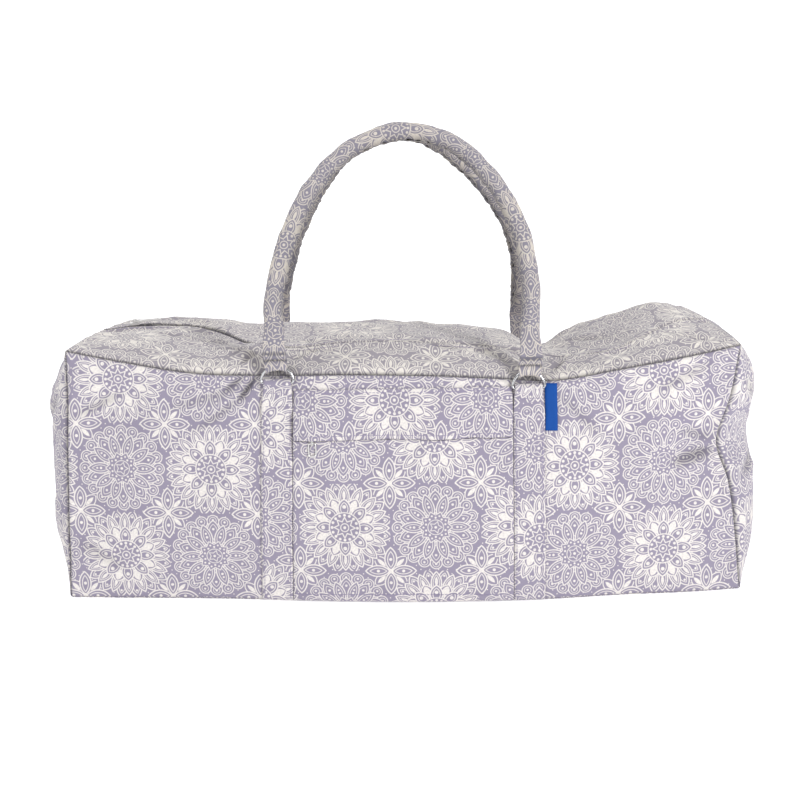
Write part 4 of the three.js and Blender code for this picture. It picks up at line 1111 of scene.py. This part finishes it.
def strap(entry, offset):
    """A sewn band with the loop that holds its ring."""
    name, side, _, top = entry
    height = ring_frame(side, top)["height"]
    path = strap_path(height)
    step = np.gradient(path, axis=0)
    normal = unit(np.stack([-step[:, 1], step[:, 0]], axis=1))
    place = rounded_across(11, STRAP_WIDTH)
    shares, depths = place[:, 0], place[:, 1]
    run = run_along(path)
    narrow = np.clip((path[:, 1] - height + STRAP_FOLD) / STRAP_FOLD, 0, 1)
    width = mix(STRAP_WIDTH, STRAP_LOOP_WIDTH, narrow)
    puckers = 0.35 * narrow[:, None] * Waves(200 + len(name), 9, 10)(shares * 13, run[:, None])
    off = path[:, 0, None] - normal[:, 0, None] * depths * STRAP_THICKNESS / 2 + puckers
    z = path[:, 1, None] - normal[:, 1, None] * depths * STRAP_THICKNESS / 2
    x = strap_middle(entry, np.minimum(path[:, 1], height))[:, None] + shares * width[:, None] / 2
    points = place_on_wall(side, x, z, off)
    cloth = np.stack([np.broadcast_to(shares * STRAP_WIDTH / 2, z.shape) + offset[0],
                      np.broadcast_to(run[:, None], z.shape) + offset[1]], axis=-1)
    piece = loft(f"strap_{name}", points, cloth)
    return finish_piece(piece, canvas, [f"strap_{name}"])


def front_cloth(name, from_at, to_at, heights, offset_at, thickness, cloth_offset, material):
    """A piece of cloth over the front wall between two edges that may lean."""
    count = max(5, int((to_at(heights[0]) - from_at(heights[0])) / 3))
    place = rounded_across(count, to_at(heights[0]) - from_at(heights[0]))
    share = (place[:, 0] + 1) / 2
    z = np.broadcast_to(heights[:, None], (len(heights), len(share)))
    x = mix(from_at(z), to_at(z), share)
    points = place_on_wall(FRONT, x, z, offset_at(x, z) + thickness * (1 + place[:, 1]) / 2)
    cloth = np.stack([x + cloth_offset[0], z + cloth_offset[1]], axis=-1)
    return finish_piece(loft(name, points, cloth), material, [name])


def pocket_from(z):
    return strap_middle(STRAPS[0], z) + STRAP_WIDTH / 2 + LAYER_GAP


def pocket_to(z):
    return strap_middle(STRAPS[1], z) - STRAP_WIDTH / 2 - LAYER_GAP


POCKET_SLIDER_AT = -86.7
POCKET_SLACK_REACH = 30
POCKET_GATHER = 0.8
POCKET_GATHER_REACH = (22, 26)
POCKET_GATHER_PITCH = 6.5
POCKET_SEWN = 25
FLAP_LOWER = 3.0
FLAP_STITCH_DEPTH = 0.35


def pocket_offset(x, z):
    """The pocket lies on the wall, slack near its opening and gathered beside the slider."""
    wide, deep = POCKET_GATHER_REACH
    slack = np.exp(-(((FLAP_EDGE - z) / POCKET_SLACK_REACH) ** 2)) * (1 + 0.6 * Waves(151, 55)(x, 0))
    gather = POCKET_GATHER * np.exp(-(((x - POCKET_SLIDER_AT) / wide) ** 2))
    gather = gather * np.exp(-((FLAP_EDGE - z) / deep) ** 2)
    fold = gather * np.cos(2 * math.pi * (x - POCKET_SLIDER_AT) / POCKET_GATHER_PITCH)
    soft = 0.35 * (1 + Waves(152, 40)(x, z))
    sewn = np.clip((z - POCKET_FOOT) / POCKET_SEWN, 0, 1)
    return POCKET_SPACE + (slack + soft + 0.8 * gather) * sewn + fold


def flap_offset(x, z):
    """The flap hangs from its topstitched upper edge and stands off over the slider."""
    share = np.clip((FLAP_TOP - z) / FLAP_RAMP, 0, 1)
    over_slider = np.exp(-(((x - POCKET_SLIDER_AT) / 17) ** 2))
    lower = FLAP_LOWER + (FLAP_STAND - FLAP_LOWER) * over_slider + 0.4 * Waves(161, 48)(x, 0)
    sag = 0.35 * Waves(162, 26)(x, 0.5 * z) * share
    stitch = -FLAP_STITCH_DEPTH * np.exp(-(((FLAP_TOP - z - FLAP_TOP_STITCH) / 1.2) ** 2))
    return mix(LAYER_GAP + 0.3, lower, share * share * (3 - 2 * share)) + sag + stitch


def label_from(z):
    return strap_middle(STRAPS[1], z) + STRAP_WIDTH / 2 + LAYER_GAP


def label():
    top = rim_height(label_from(HEIGHT), FRONT) - LABEL_DROP
    heights = spaced([top - LABEL_HEIGHT, top], 1.5)

    def stand(x, z):
        share = (x - label_from(z)) / LABEL_WIDTH
        wave = LABEL_WAVE * np.sin(2 * math.pi * (z - top) / LABEL_HEIGHT)
        return LAYER_GAP + 0.2 + LABEL_CURL * share**2 + wave

    front_cloth("side_label", label_from, lambda z: label_from(z) + LABEL_WIDTH, heights, stand,
                LABEL_THICKNESS, (0, 0), label_cloth)


def end_loop():
    """Small cloth loop on the right end."""
    t = np.linspace(-1, 1, 25)[:, None]
    place = rounded_across(7, TAB_LOOP_WIDTH)
    y = np.broadcast_to(place[:, 0] * TAB_LOOP_WIDTH / 2, (25, len(place)))
    z = np.broadcast_to(TAB_LOOP_MIDDLE + t * TAB_LOOP_HEIGHT / 2, y.shape)
    points = body(1, y / HALF_DEPTH, 2 * z / HEIGHT - 1)
    points[..., 0] += LAYER_GAP + TAB_LOOP_RISE * (1 - t**4) + TAB_LOOP_THICKNESS * (1 + place[:, 1]) / 2
    cloth = np.stack([y + 30, z + 12], axis=-1)
    finish_piece(loft("end_tab", points, cloth), canvas, ["end_tab"])


# Rings

def tube(name, path, frame_out, radius, sides, material, nodes, carrier="root"):
    """A round wire along a closed path that lies in a plane."""
    before = np.roll(path, 1, axis=0)
    after = np.roll(path, -1, axis=0)
    along = unit(after - before)
    inward = unit(np.cross(along, frame_out))
    angle = 2 * math.pi * np.arange(sides) / sides
    loops = (path[:, None] + radius * np.cos(angle)[None, :, None] * inward[:, None]
             + radius * np.sin(angle)[None, :, None] * frame_out[None, None])
    return finish_piece(loft(name, loops, ring=True), material, nodes, carrier)


PULL_WIRE = 0.75
PULL_CORNERS = 0.4


def pull_loop(name, carrier, wire):
    """A wire loop as the pull of a zip, as long and wide as the part's pull tab."""
    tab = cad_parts[name]
    points = np.array([tab.matrix_world @ vertex.co for vertex in tab.data.vertices]) / MM
    middle = points.mean(axis=0)
    axes = np.linalg.svd(points - middle)[2]
    reach = (points - middle) @ axes.T
    middle = middle + (reach.min(axis=0) + reach.max(axis=0)) / 2 @ axes
    length, width = (reach.max(axis=0) - reach.min(axis=0))[:2] / 2 - wire
    angle = np.linspace(0, 2 * math.pi, 48, endpoint=False)
    along = length * squarer(np.cos(angle), PULL_CORNERS)
    across = width * squarer(np.sin(angle), PULL_CORNERS)
    path = middle + along[:, None] * axes[0] + across[:, None] * axes[1]
    tube("pocket_pull", path, axes[2], wire, 10, zip_steel, [name], carrier)


def ring(entry):
    """A wire D-ring: half a circle closed by a straight bar, with rounded corners."""
    name, side, _, top = entry
    place = ring_frame(side, top)
    corner = RING_CORNER
    flat = []
    turn = math.asin(corner / (RING_RADIUS - corner))
    for angle in np.linspace(turn, math.pi - turn, 40):
        flat.append((RING_RADIUS * math.cos(angle), RING_RADIUS * math.sin(angle)))
    middle = (RING_RADIUS - corner) * math.cos(turn)
    for angle in np.linspace(math.pi - turn, 1.5 * math.pi, 9)[1:]:
        flat.append((-middle + corner * math.cos(angle), corner + corner * math.sin(angle)))
    for share in np.linspace(0, 1, 12)[1:-1]:
        flat.append((mix(-middle, middle, share), 0))
    for angle in np.linspace(1.5 * math.pi, 2 * math.pi + turn, 9)[:-1]:
        flat.append((middle + corner * math.cos(angle), corner + corner * math.sin(angle)))
    flat = np.array(flat)
    path = place["bar"] + flat[:, :1] * place["across"] + flat[:, 1:] * place["up"]
    tube(f"ring_{name}", path, place["out"], RING_WIRE / 2, 14, steel, [f"ring_{name}"])


# Handles

def spline(points, count):
    """Evenly spaced points on a smooth curve through the given ones."""
    points = np.array(points, float)
    ends = [2 * points[0] - points[1], 2 * points[-1] - points[-2]]
    knots = np.concatenate([ends[:1], points, ends[1:]])
    fine = []
    for p0, p1, p2, p3 in zip(knots[:-3], knots[1:-2], knots[2:-1], knots[3:]):
        t = [0.0]
        for u, v in ((p0, p1), (p1, p2), (p2, p3)):
            t.append(t[-1] + math.sqrt(np.linalg.norm(v - u)))
        for at in np.linspace(t[1], t[2], 30, endpoint=False):
            a1 = mix(p0, p1, (at - t[0]) / (t[1] - t[0]))
            a2 = mix(p1, p2, (at - t[1]) / (t[2] - t[1]))
            a3 = mix(p2, p3, (at - t[2]) / (t[3] - t[2]))
            b1 = mix(a1, a2, (at - t[0]) / (t[2] - t[0]))
            b2 = mix(a2, a3, (at - t[1]) / (t[3] - t[1]))
            fine.append(mix(b1, b2, (at - t[1]) / (t[2] - t[1])))
    fine.append(points[-1])
    fine = np.array(fine)
    run = run_along(fine)
    at = np.linspace(0, run[-1], count)
    return at_run(at, run, fine)


# Gathers and groove beside a tube's seam: heights in millimetres, reaches round the tube in radians
GATHER_HEIGHT = 0.6
GATHER_PITCH = 7.5
GATHER_REACH = 0.8
GROOVE_DEPTH = 1.1
GROOVE_REACH = 0.2
GROOVE_BANK = 0.5
GROOVE_BANK_AT = 0.45
# Painted shade along the tube's seam, with its reach round the tube in radians, and in the grooves beside the
# ridges of the flat ends
HANDLE_SEAM_DARKNESS = 0.5
HANDLE_DARK_REACH = 1.1
RIDGE_DARKNESS = 0.6
HANDLE_SIDES = 28
HANDLE_STEPS = 230
HANDLE_APEX = HANDLE_DIAMETER / 2 + 0.15

# Where the puckered seam runs round each tube, and the sewn ridges across its flat ends: rise and height
FRONT_SEAM_ANGLE = -0.35
BACK_SEAM_ANGLE = math.pi + 0.6
HANDLE_RIDGES = ((2.6, 1.4), (8.8, 1.6))

# How far the flat ends slide outwards along the bag: rise from the ring, front handle, back handle
HANDLE_SLIDE = ((0, 0.8, 6.0), (14, 2.8, 6.2), (24, 2.8, 6.0))
BACK_LOOP_SHARE = 0.78


def handle_width(rise, name):
    return HANDLE_DIAMETER * column(HANDLE_END, rise / HANDLE_END_LENGTH, name)


def handle_end(place, side, way):
    """Rows of a flat end, from the cut edge behind the ring to the start of the tube."""
    width_name = "front_width" if side == FRONT else "back_width"
    levels, fronts, backs = zip(*HANDLE_SLIDE)
    loop_width = HANDLE_LOOP_WIDTH * (1 if side == FRONT else BACK_LOOP_SHARE)
    loop = RING_WIRE / 2 + HANDLE_LOOP_CLEARANCE + HANDLE_CLOTH / 2
    rows = []

    def add(rise, offset, width, thickness, level):
        slide = way * float(np.interp(abs(level), levels, fronts if side == FRONT else backs))
        point = place["bar"] + place["up"] * (RING_RADIUS + rise) + place["out"] * offset
        point = point + np.array([slide, 0, 0])
        rows.append((point, side * way * place["across"], width, thickness, level, slide))

    for rise in spaced([HANDLE_FOLD, 0], 2.0):
        add(rise, -loop, loop_width, HANDLE_CLOTH, -rise)
    for angle in np.linspace(0, math.pi, 13)[1:]:
        add(-loop * math.sin(angle), -loop * math.cos(angle), loop_width, HANDLE_CLOTH, 0)
    names = HANDLE_END[0]
    knots = [(0, loop, loop_width, HANDLE_CLOTH)]
    for row in HANDLE_END[1:1 + FLAT_ROWS]:
        share = dict(zip(names, row))
        knots.append((HANDLE_END_LENGTH * share["rise"], HANDLE_DIAMETER * share["offset"],
                      HANDLE_DIAMETER * share[width_name], HANDLE_DIAMETER * share["thickness"]))
    knots = np.array(knots)
    for rise in np.linspace(0, knots[-1, 0], 14)[1:]:
        offset, width, thickness = (float(np.interp(rise, knots[:, 0], knots[:, k])) for k in (1, 2, 3))
        add(rise, offset, width, thickness, rise)
    return rows


def handle(name, side, offset):
    """A padded tube with flat looped ends, puckered along the seam on its inner side."""
    width_name = "front_width" if side == FRONT else "back_width"
    places = [ring_frame(side, entry[3]) for entry in STRAPS if entry[1] == side]
    start, finish = (handle_end(place, side, way) for place, way in zip(places, (-1, 1)))
    feet = np.array([row[0] - (row[5], 0, 0) for row in (start[-1], finish[-1])])
    knots = []
    for front, back, up in HANDLE_ARCH[1:]:
        share = ((front if side == FRONT else back) + 1) / 2
        foot = mix(feet[0], feet[1], min(max(share, 0), 1))
        knots.append((mix(feet[0][0], feet[1][0], share), mix(foot[1], side * HANDLE_APEX, up),
                      mix(foot[2], HANDLE_TOP, up)))
    arch = spline([start[-1][0], *knots, finish[-1][0]], HANDLE_STEPS)[1:-1]
    lean = side * HANDLE_APEX - feet[0][1]
    out = unit(np.array([0, side * (HANDLE_TOP - feet[0][2]), -side * lean]))
    middle = np.concatenate([[row[0] for row in start], arch, [row[0] for row in finish[::-1]]])
    along = unit(np.gradient(middle, axis=0))
    count = len(middle)
    across = unit(np.cross(along, out))
    widths = np.full(count, float(HANDLE_DIAMETER))
    depths = np.full(count, float(HANDLE_DIAMETER))
    level = np.full(count, float(HANDLE_END_LENGTH))
    slide = np.zeros((count, 1))
    for i, row in [*enumerate(start), *((count - 1 - i, row) for i, row in enumerate(finish))]:
        across[i], widths[i], depths[i], level[i] = row[1:5]
        slide[i] = row[5] * row[1][0]
    for i in range(len(start), count - len(finish)):
        place = places[0] if middle[i][0] < 0 else places[1]
        rise = float(np.dot(middle[i] - place["bar"], place["up"])) - RING_RADIUS
        widths[i], depths[i] = handle_width(rise, width_name), handle_width(rise, "thickness")
        level[i] = rise
    normal = unit(np.cross(across, along))
    turns = np.arange(HANDLE_SIDES + 1)
    angle = FRONT_SEAM_ANGLE if side == FRONT else BACK_SEAM_ANGLE
    angle = angle + 2 * math.pi * turns / HANDLE_SIDES
    from_seam = (2 * math.pi / HANDLE_SIDES * np.minimum(turns, HANDLE_SIDES - turns))[None]
    flat = np.clip(1.6 * depths / widths, 0.4, 1)[:, None]
    u = squarer(np.cos(angle), flat) * widths[:, None] / 2
    v = squarer(np.sin(angle), flat) * depths[:, None] / 2
    around = np.cumsum(np.hypot(np.diff(u, axis=1), np.diff(v, axis=1)), axis=1)
    around = np.concatenate([np.zeros((count, 1)), around], axis=1)
    around = around - around[:, -1:] / 2
    run = run_along(middle)[:, None]
    round_share = np.clip((depths / HANDLE_DIAMETER - 0.3) / 0.7, 0, 1)[:, None]
    gathers = GATHER_HEIGHT * Waves(300, GATHER_PITCH, 12)(run, 0.25 * around)
    gathers = gathers * np.exp(-(from_seam / GATHER_REACH) ** 2)
    groove = GROOVE_DEPTH * np.exp(-(from_seam / GROOVE_REACH) ** 2)
    groove = groove - GROOVE_BANK * np.exp(-((from_seam - GROOVE_BANK_AT) / GROOVE_REACH) ** 2)
    soft = 0.28 * Waves(301, 30, 12)(run, around) + 0.14 * Waves(302, 12)(run, around)
    swell = 1 + round_share * (soft + gathers - groove) / (HANDLE_DIAMETER / 2)
    level = level[:, None]
    ridges = sum(height * np.exp(-((level - at) / 1.7) ** 2) for at, height in HANDLE_RIDGES)
    pucker = (1 - round_share) * (0.18 * Waves(303, 9)(run, u) + 0.35 * ridges * Waves(304, 5)(u, 0 * run))
    u, v = u * swell, v * swell + pucker + ridges
    points = middle[:, None] + u[..., None] * across[:, None] + v[..., None] * normal[:, None]
    droop = np.clip(1 - np.abs(level) / (HANDLE_FOLD / 2), 0, 1)
    points[..., 2] -= droop * (RING_RADIUS - np.sqrt(np.maximum(0, RING_RADIUS**2 - (u + slide) ** 2)))
    # Painted shade along the seam of the round tube and in the grooves beside the ridges of the flat ends
    shade = round_share * HANDLE_SEAM_DARKNESS * np.exp(-(from_seam / HANDLE_DARK_REACH) ** 2)
    for at, _ in HANDLE_RIDGES:
        shade = np.maximum(shade, RIDGE_DARKNESS * np.exp(-((level - at - 3.0) / 1.3) ** 2))
    cloth = np.stack([around + offset[0], np.broadcast_to(run, around.shape) + offset[1],
                      np.broadcast_to(shade, around.shape)], axis=-1)
    faces = grid_faces(count, HANDLE_SIDES + 1)
    piece = mesh_object(name, points, faces[:, ::-1] if inside_out(points, faces) else faces, cloth)
    return finish_piece(piece, handle_canvas, [name])


# Zip and stitches

def boxes(name, places, along, across, up, size, material):
    """Many small blocks with bevelled ends, as one mesh."""
    length, width, height = size
    ring_shape = [(-0.5, -0.5), (0.5, -0.5), (0.5, 0.5), (-0.5, 0.5)]
    template = []
    for end, shrink in ((-0.5, 0.55), (-0.32, 1.0), (0.32, 1.0), (0.5, 0.55)):
        template += [(end * length, shrink * p * width, shrink * q * height) for p, q in ring_shape]
    template = np.array(template)
    faces = [(3, 2, 1, 0), (12, 13, 14, 15)]
    for i in range(3):
        for j in range(4):
            k = (j + 1) % 4
            faces.append((4 * i + j, 4 * i + k, 4 * i + 4 + k, 4 * i + 4 + j))
    faces = np.array(faces)
    points = places[:, None]
    for axis, direction in enumerate((along, across, up)):
        points = points + template[None, :, axis, None] * direction[:, None]
    every = (faces[None] + 16 * np.arange(len(places))[:, None, None]).reshape(-1, 4)
    piece = mesh_object(name, points, every)
    return finish_piece(piece, material)


STITCH_LENGTH = 2.5
STITCH_GAP = 0.9
STITCH_SIZE = (STITCH_LENGTH, 0.55, 0.4)
STITCH_LIFT = 0.12
HEM_STITCH_LIFT = -0.1
HEM_STITCH_REACH = 0.97
EDGE_STITCH_INSET = 2.6
CROSS_STITCH_INSET = 3.5
LOOP_STITCH_DROP = 9.5
FLAP_TOP_STITCH = 3
FLAP_EDGE_STITCH = 4
POCKET_STITCH_AT = 9
STITCH_END_INSET = 1.5


def stitches(name, runs, lift=STITCH_LIFT):
    """Stitches along runs as one piece. runs: points of each, and the way out of the cloth there."""
    places, along, up = [], [], []
    for path, out in runs:
        out = np.broadcast_to(np.asarray(out, float), path.shape)
        run = run_along(path)
        count = max(2, int(run[-1] / (STITCH_LENGTH + STITCH_GAP)))
        at = (np.arange(count) + 0.5) * run[-1] / count
        ends = [at_run(at + s * STITCH_LENGTH / 2, run, path) for s in (-1, 1)]
        way = unit(at_run(at, run, out))
        places.append((ends[0] + ends[1]) / 2 + lift * way)
        along.append(unit(ends[1] - ends[0]))
        up.append(way)
    places, along, up = (np.concatenate(v) for v in (places, along, up))
    boxes(name, places, along, unit(np.cross(up, along)), up, STITCH_SIZE, thread)


TAPE_DROP = 2.4
TAPE_REACH = 6.4
TOOTH_PITCH = 1.5
TOOTH_DROP = 1.7
TOOTH_STAGGER = 0.45
TOOTH_SIZE = (3.6, 0.95, 1.5)


def tape_point(a, across, depth):
    """A point of the zip tape, some way across from its middle and below the top's surface."""
    b = section("zip", a) + across / HALF_DEPTH
    point = body(a, b, 1)
    return point + np.stack([-a, -b, -np.ones_like(a)], axis=-1) * np.asarray(depth)[..., None]


def zip_tape():
    reach = 1 - 4 / HALF_LENGTH
    across, a = np.meshgrid(np.linspace(-TAPE_REACH, TAPE_REACH, 9), np.linspace(-reach, reach, 260),
                            indexing="ij")
    points = tape_point(a, across, np.full(a.shape, TAPE_DROP))
    cloth = np.stack([points[..., 0], across], axis=-1)
    finish_piece(sheet("main_zip_tape", points, cloth), zip_cloth, ["main_zip_tape"])
    count = int(2 * reach * HALF_LENGTH / TOOTH_PITCH)
    a = np.linspace(-reach, reach, count)
    side = np.where(np.arange(count) % 2 == 0, 1.0, -1.0)
    places = tape_point(a, TOOTH_STAGGER * side, np.full(count, TOOTH_DROP))
    lower = tape_point(a, 0 * a, np.full(count, TOOTH_DROP))
    along = unit(np.gradient(lower, axis=0))
    across = unit(tape_point(a, 0 * a + 2, 0 * a) - tape_point(a, 0 * a - 2, 0 * a))
    up = unit(np.cross(along, across))
    boxes("main_zip_teeth", places, across, along, up, TOOTH_SIZE, zip_teeth)


def strap_stitches(entry):
    """Two rows up the edges of a band and two across its loop."""
    _, side, _, top = entry
    out = (0, side, 0)
    height = ring_frame(side, top)["height"]
    surface = LAYER_GAP + STRAP_THICKNESS
    step_up = surface + STRAP_THICKNESS + LAYER_GAP
    z = np.linspace(4, height - STRAP_FOLD - 2, 90)
    stand = np.where(z > height - STRAP_FOLD - 5, step_up, surface)
    runs = []
    for edge in (-1, 1):
        x = strap_middle(entry, z) + edge * (STRAP_WIDTH / 2 - EDGE_STITCH_INSET)
        runs.append((place_on_wall(side, x, z, stand), out))
    for down in (LOOP_STITCH_DROP, STRAP_FOLD - 2):
        z = np.full(20, height - down)
        x = strap_middle(entry, z) + np.linspace(-1, 1, 20) * (STRAP_WIDTH / 2 - CROSS_STITCH_INSET)
        runs.append((place_on_wall(side, x, z, np.full(20, step_up)), out))
    return runs


def pocket_stitches():
    """Rows along the two edges of the flap and the foot of the pocket."""
    runs = []
    for level, offset_at, thickness in ((FLAP_TOP - FLAP_TOP_STITCH, flap_offset, FLAP_THICKNESS),
                                        (FLAP_EDGE + FLAP_EDGE_STITCH, flap_offset, FLAP_THICKNESS),
                                        (POCKET_STITCH_AT, pocket_offset, POCKET_THICKNESS)):
        z = np.full(80, float(level))
        x = mix(pocket_from(level) + STITCH_END_INSET, pocket_to(level) - STITCH_END_INSET,
                np.linspace(0, 1, 80))
        runs.append((place_on_wall(FRONT, x, z, offset_at(x, z) + thickness), (0, FRONT, 0)))
    return runs


def hem_stitches():
    """A row along each lip of the main zip."""
    a = np.linspace(-HEM_STITCH_REACH, HEM_STITCH_REACH, 200)
    return [(body(a, section("zip", a) + side * (lip_place(a) + HEM_AT / HALF_DEPTH), 1), (0, 0, 1))
            for side in (-1, 1)]


# Camera, light and floor

FOCAL_SHARE = 1702.13 / 800
CAMERA_AT = (0, -1.688, 0.538)
PITCH = 12.339
ROLL = 1.0
YAW = 0.135
SENSOR = 36

# Lamps: name, place, aim, size and power
LAMPS = (
    ("key", (1.9, -2.4, 1.6), (0.1, 0, 0.15), 0.9, 72),
    ("fill", (-1.7, -2.3, 1.2), (0, 0, 0.15), 1.6, 16),
    ("top", (-1.1, 0.2, 2.5), (-0.15, 0, 0.1), 1.4, 19),
)
WORLD_LIGHT = 0.5

# Floor, curved up into a backdrop, in metres from the middle of the bag
FLOOR_FRONT = 8.0
FLOOR_BACK = 2.2
FLOOR_SIDE = 9.0
FLOOR_CURVE = 1.4
BACKDROP_TOP = 7.0
FLOOR_GLOW = 0.4


def camera():
    data = bpy.data.cameras.new("camera")
    data.sensor_width = SENSOR
    data.lens = SENSOR * FOCAL_SHARE
    view = bpy.data.objects.new("camera", data)
    pitch, roll, yaw = (math.radians(v) for v in (PITCH, ROLL, YAW))
    forward = Vector((-math.sin(yaw) * math.cos(pitch), math.cos(yaw) * math.cos(pitch), -math.sin(pitch)))
    right = forward.cross(Vector((0, 0, 1))).normalized()
    up = right.cross(forward)
    rolled_right = right * math.cos(roll) - up * math.sin(roll)
    rolled_up = up * math.cos(roll) + right * math.sin(roll)
    turn = Matrix((rolled_right, rolled_up, -forward)).transposed()
    view.matrix_world = Matrix.Translation(CAMERA_AT) @ turn.to_4x4()
    bpy.context.scene.collection.objects.link(view)
    bpy.context.scene.camera = view


def lamp(name, at, aim, size, power):
    data = bpy.data.lights.new(name, "AREA")
    data.shape = "DISK"
    data.size = size
    data.energy = power
    light = bpy.data.objects.new(name, data)
    light.location = at
    light.rotation_euler = (Vector(aim) - Vector(at)).to_track_quat("-Z", "Y").to_euler()
    bpy.context.scene.collection.objects.link(light)


def studio():
    world = bpy.data.worlds.new("studio")
    bpy.context.scene.world = world
    world.use_nodes = True
    background = world.node_tree.nodes["Background"]
    background.inputs["Color"].default_value = (1, 1, 1, 1)
    background.inputs["Strength"].default_value = WORLD_LIGHT
    for row in LAMPS:
        lamp(*row)
    profile = [(-FLOOR_FRONT, 0.0), (FLOOR_BACK, 0.0)]
    for angle in np.linspace(0, math.pi / 2, 25)[1:]:
        profile.append((FLOOR_BACK + FLOOR_CURVE * math.sin(angle), FLOOR_CURVE * (1 - math.cos(angle))))
    profile.append((FLOOR_BACK + FLOOR_CURVE, BACKDROP_TOP))
    strip = np.array([[(x, y, z) for y, z in profile] for x in (-FLOOR_SIDE, FLOOR_SIDE)]) / MM
    floor = mesh_object("floor", strip, grid_faces(2, len(profile)))
    white, shader = new_material("floor", (0.92, 0.92, 0.925, 1), 0.9)
    shader.inputs["Emission Color"].default_value = (1, 1, 1, 1)
    shader.inputs["Emission Strength"].default_value = FLOOR_GLOW
    floor.data.materials.append(white)
    bpy.context.scene.view_settings.view_transform = "Standard"


camera()
studio()
wall("front_panel", FRONT, (12, 40))
wall("back_panel", BACK, (51, 18))
end_wall("end_panel_left", -1, (33, 40))
end_wall("end_panel_right", 1, (9, 40))
top_half("top_panel_front", FRONT, (12, -20))
top_half("top_panel_back", BACK, (47, 66))
base("base_panel")
for number, entry in enumerate(STRAPS):
    strap(entry, (20 + 57 * number, 23 * number))
    ring(entry)
front_cloth("pocket_panel", pocket_from, pocket_to, spaced([CLOTH_FOOT, FLAP_EDGE - LAYER_GAP], 2.2),
            pocket_offset, POCKET_THICKNESS, (58, 95), canvas)
front_cloth("pocket_flap", pocket_from, pocket_to, spaced([FLAP_EDGE, FLAP_TOP], 1.8), flap_offset,
            FLAP_THICKNESS, (95, 61), canvas)
label()
end_loop()
handle("handle_front", FRONT, (11, 30))
handle("handle_back", BACK, (70, 75))
pull_loop("pocket_zip_puller", "pocket_puller", PULL_WIRE)
zip_tape()
stitches("band_stitches", [run for entry in STRAPS for run in strap_stitches(entry)])
stitches("pocket_stitches", pocket_stitches())
stitches("hem_stitches", hem_stitches(), HEM_STITCH_LIFT)
for name, material in (("main_zip_slider", zip_steel), ("main_zip_puller", zip_steel),
                       ("pocket_zip_slider", zip_steel), ("pocket_zip_tape", zip_cloth)):
    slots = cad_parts[name].data.materials
    slots.clear()
    slots.append(material)
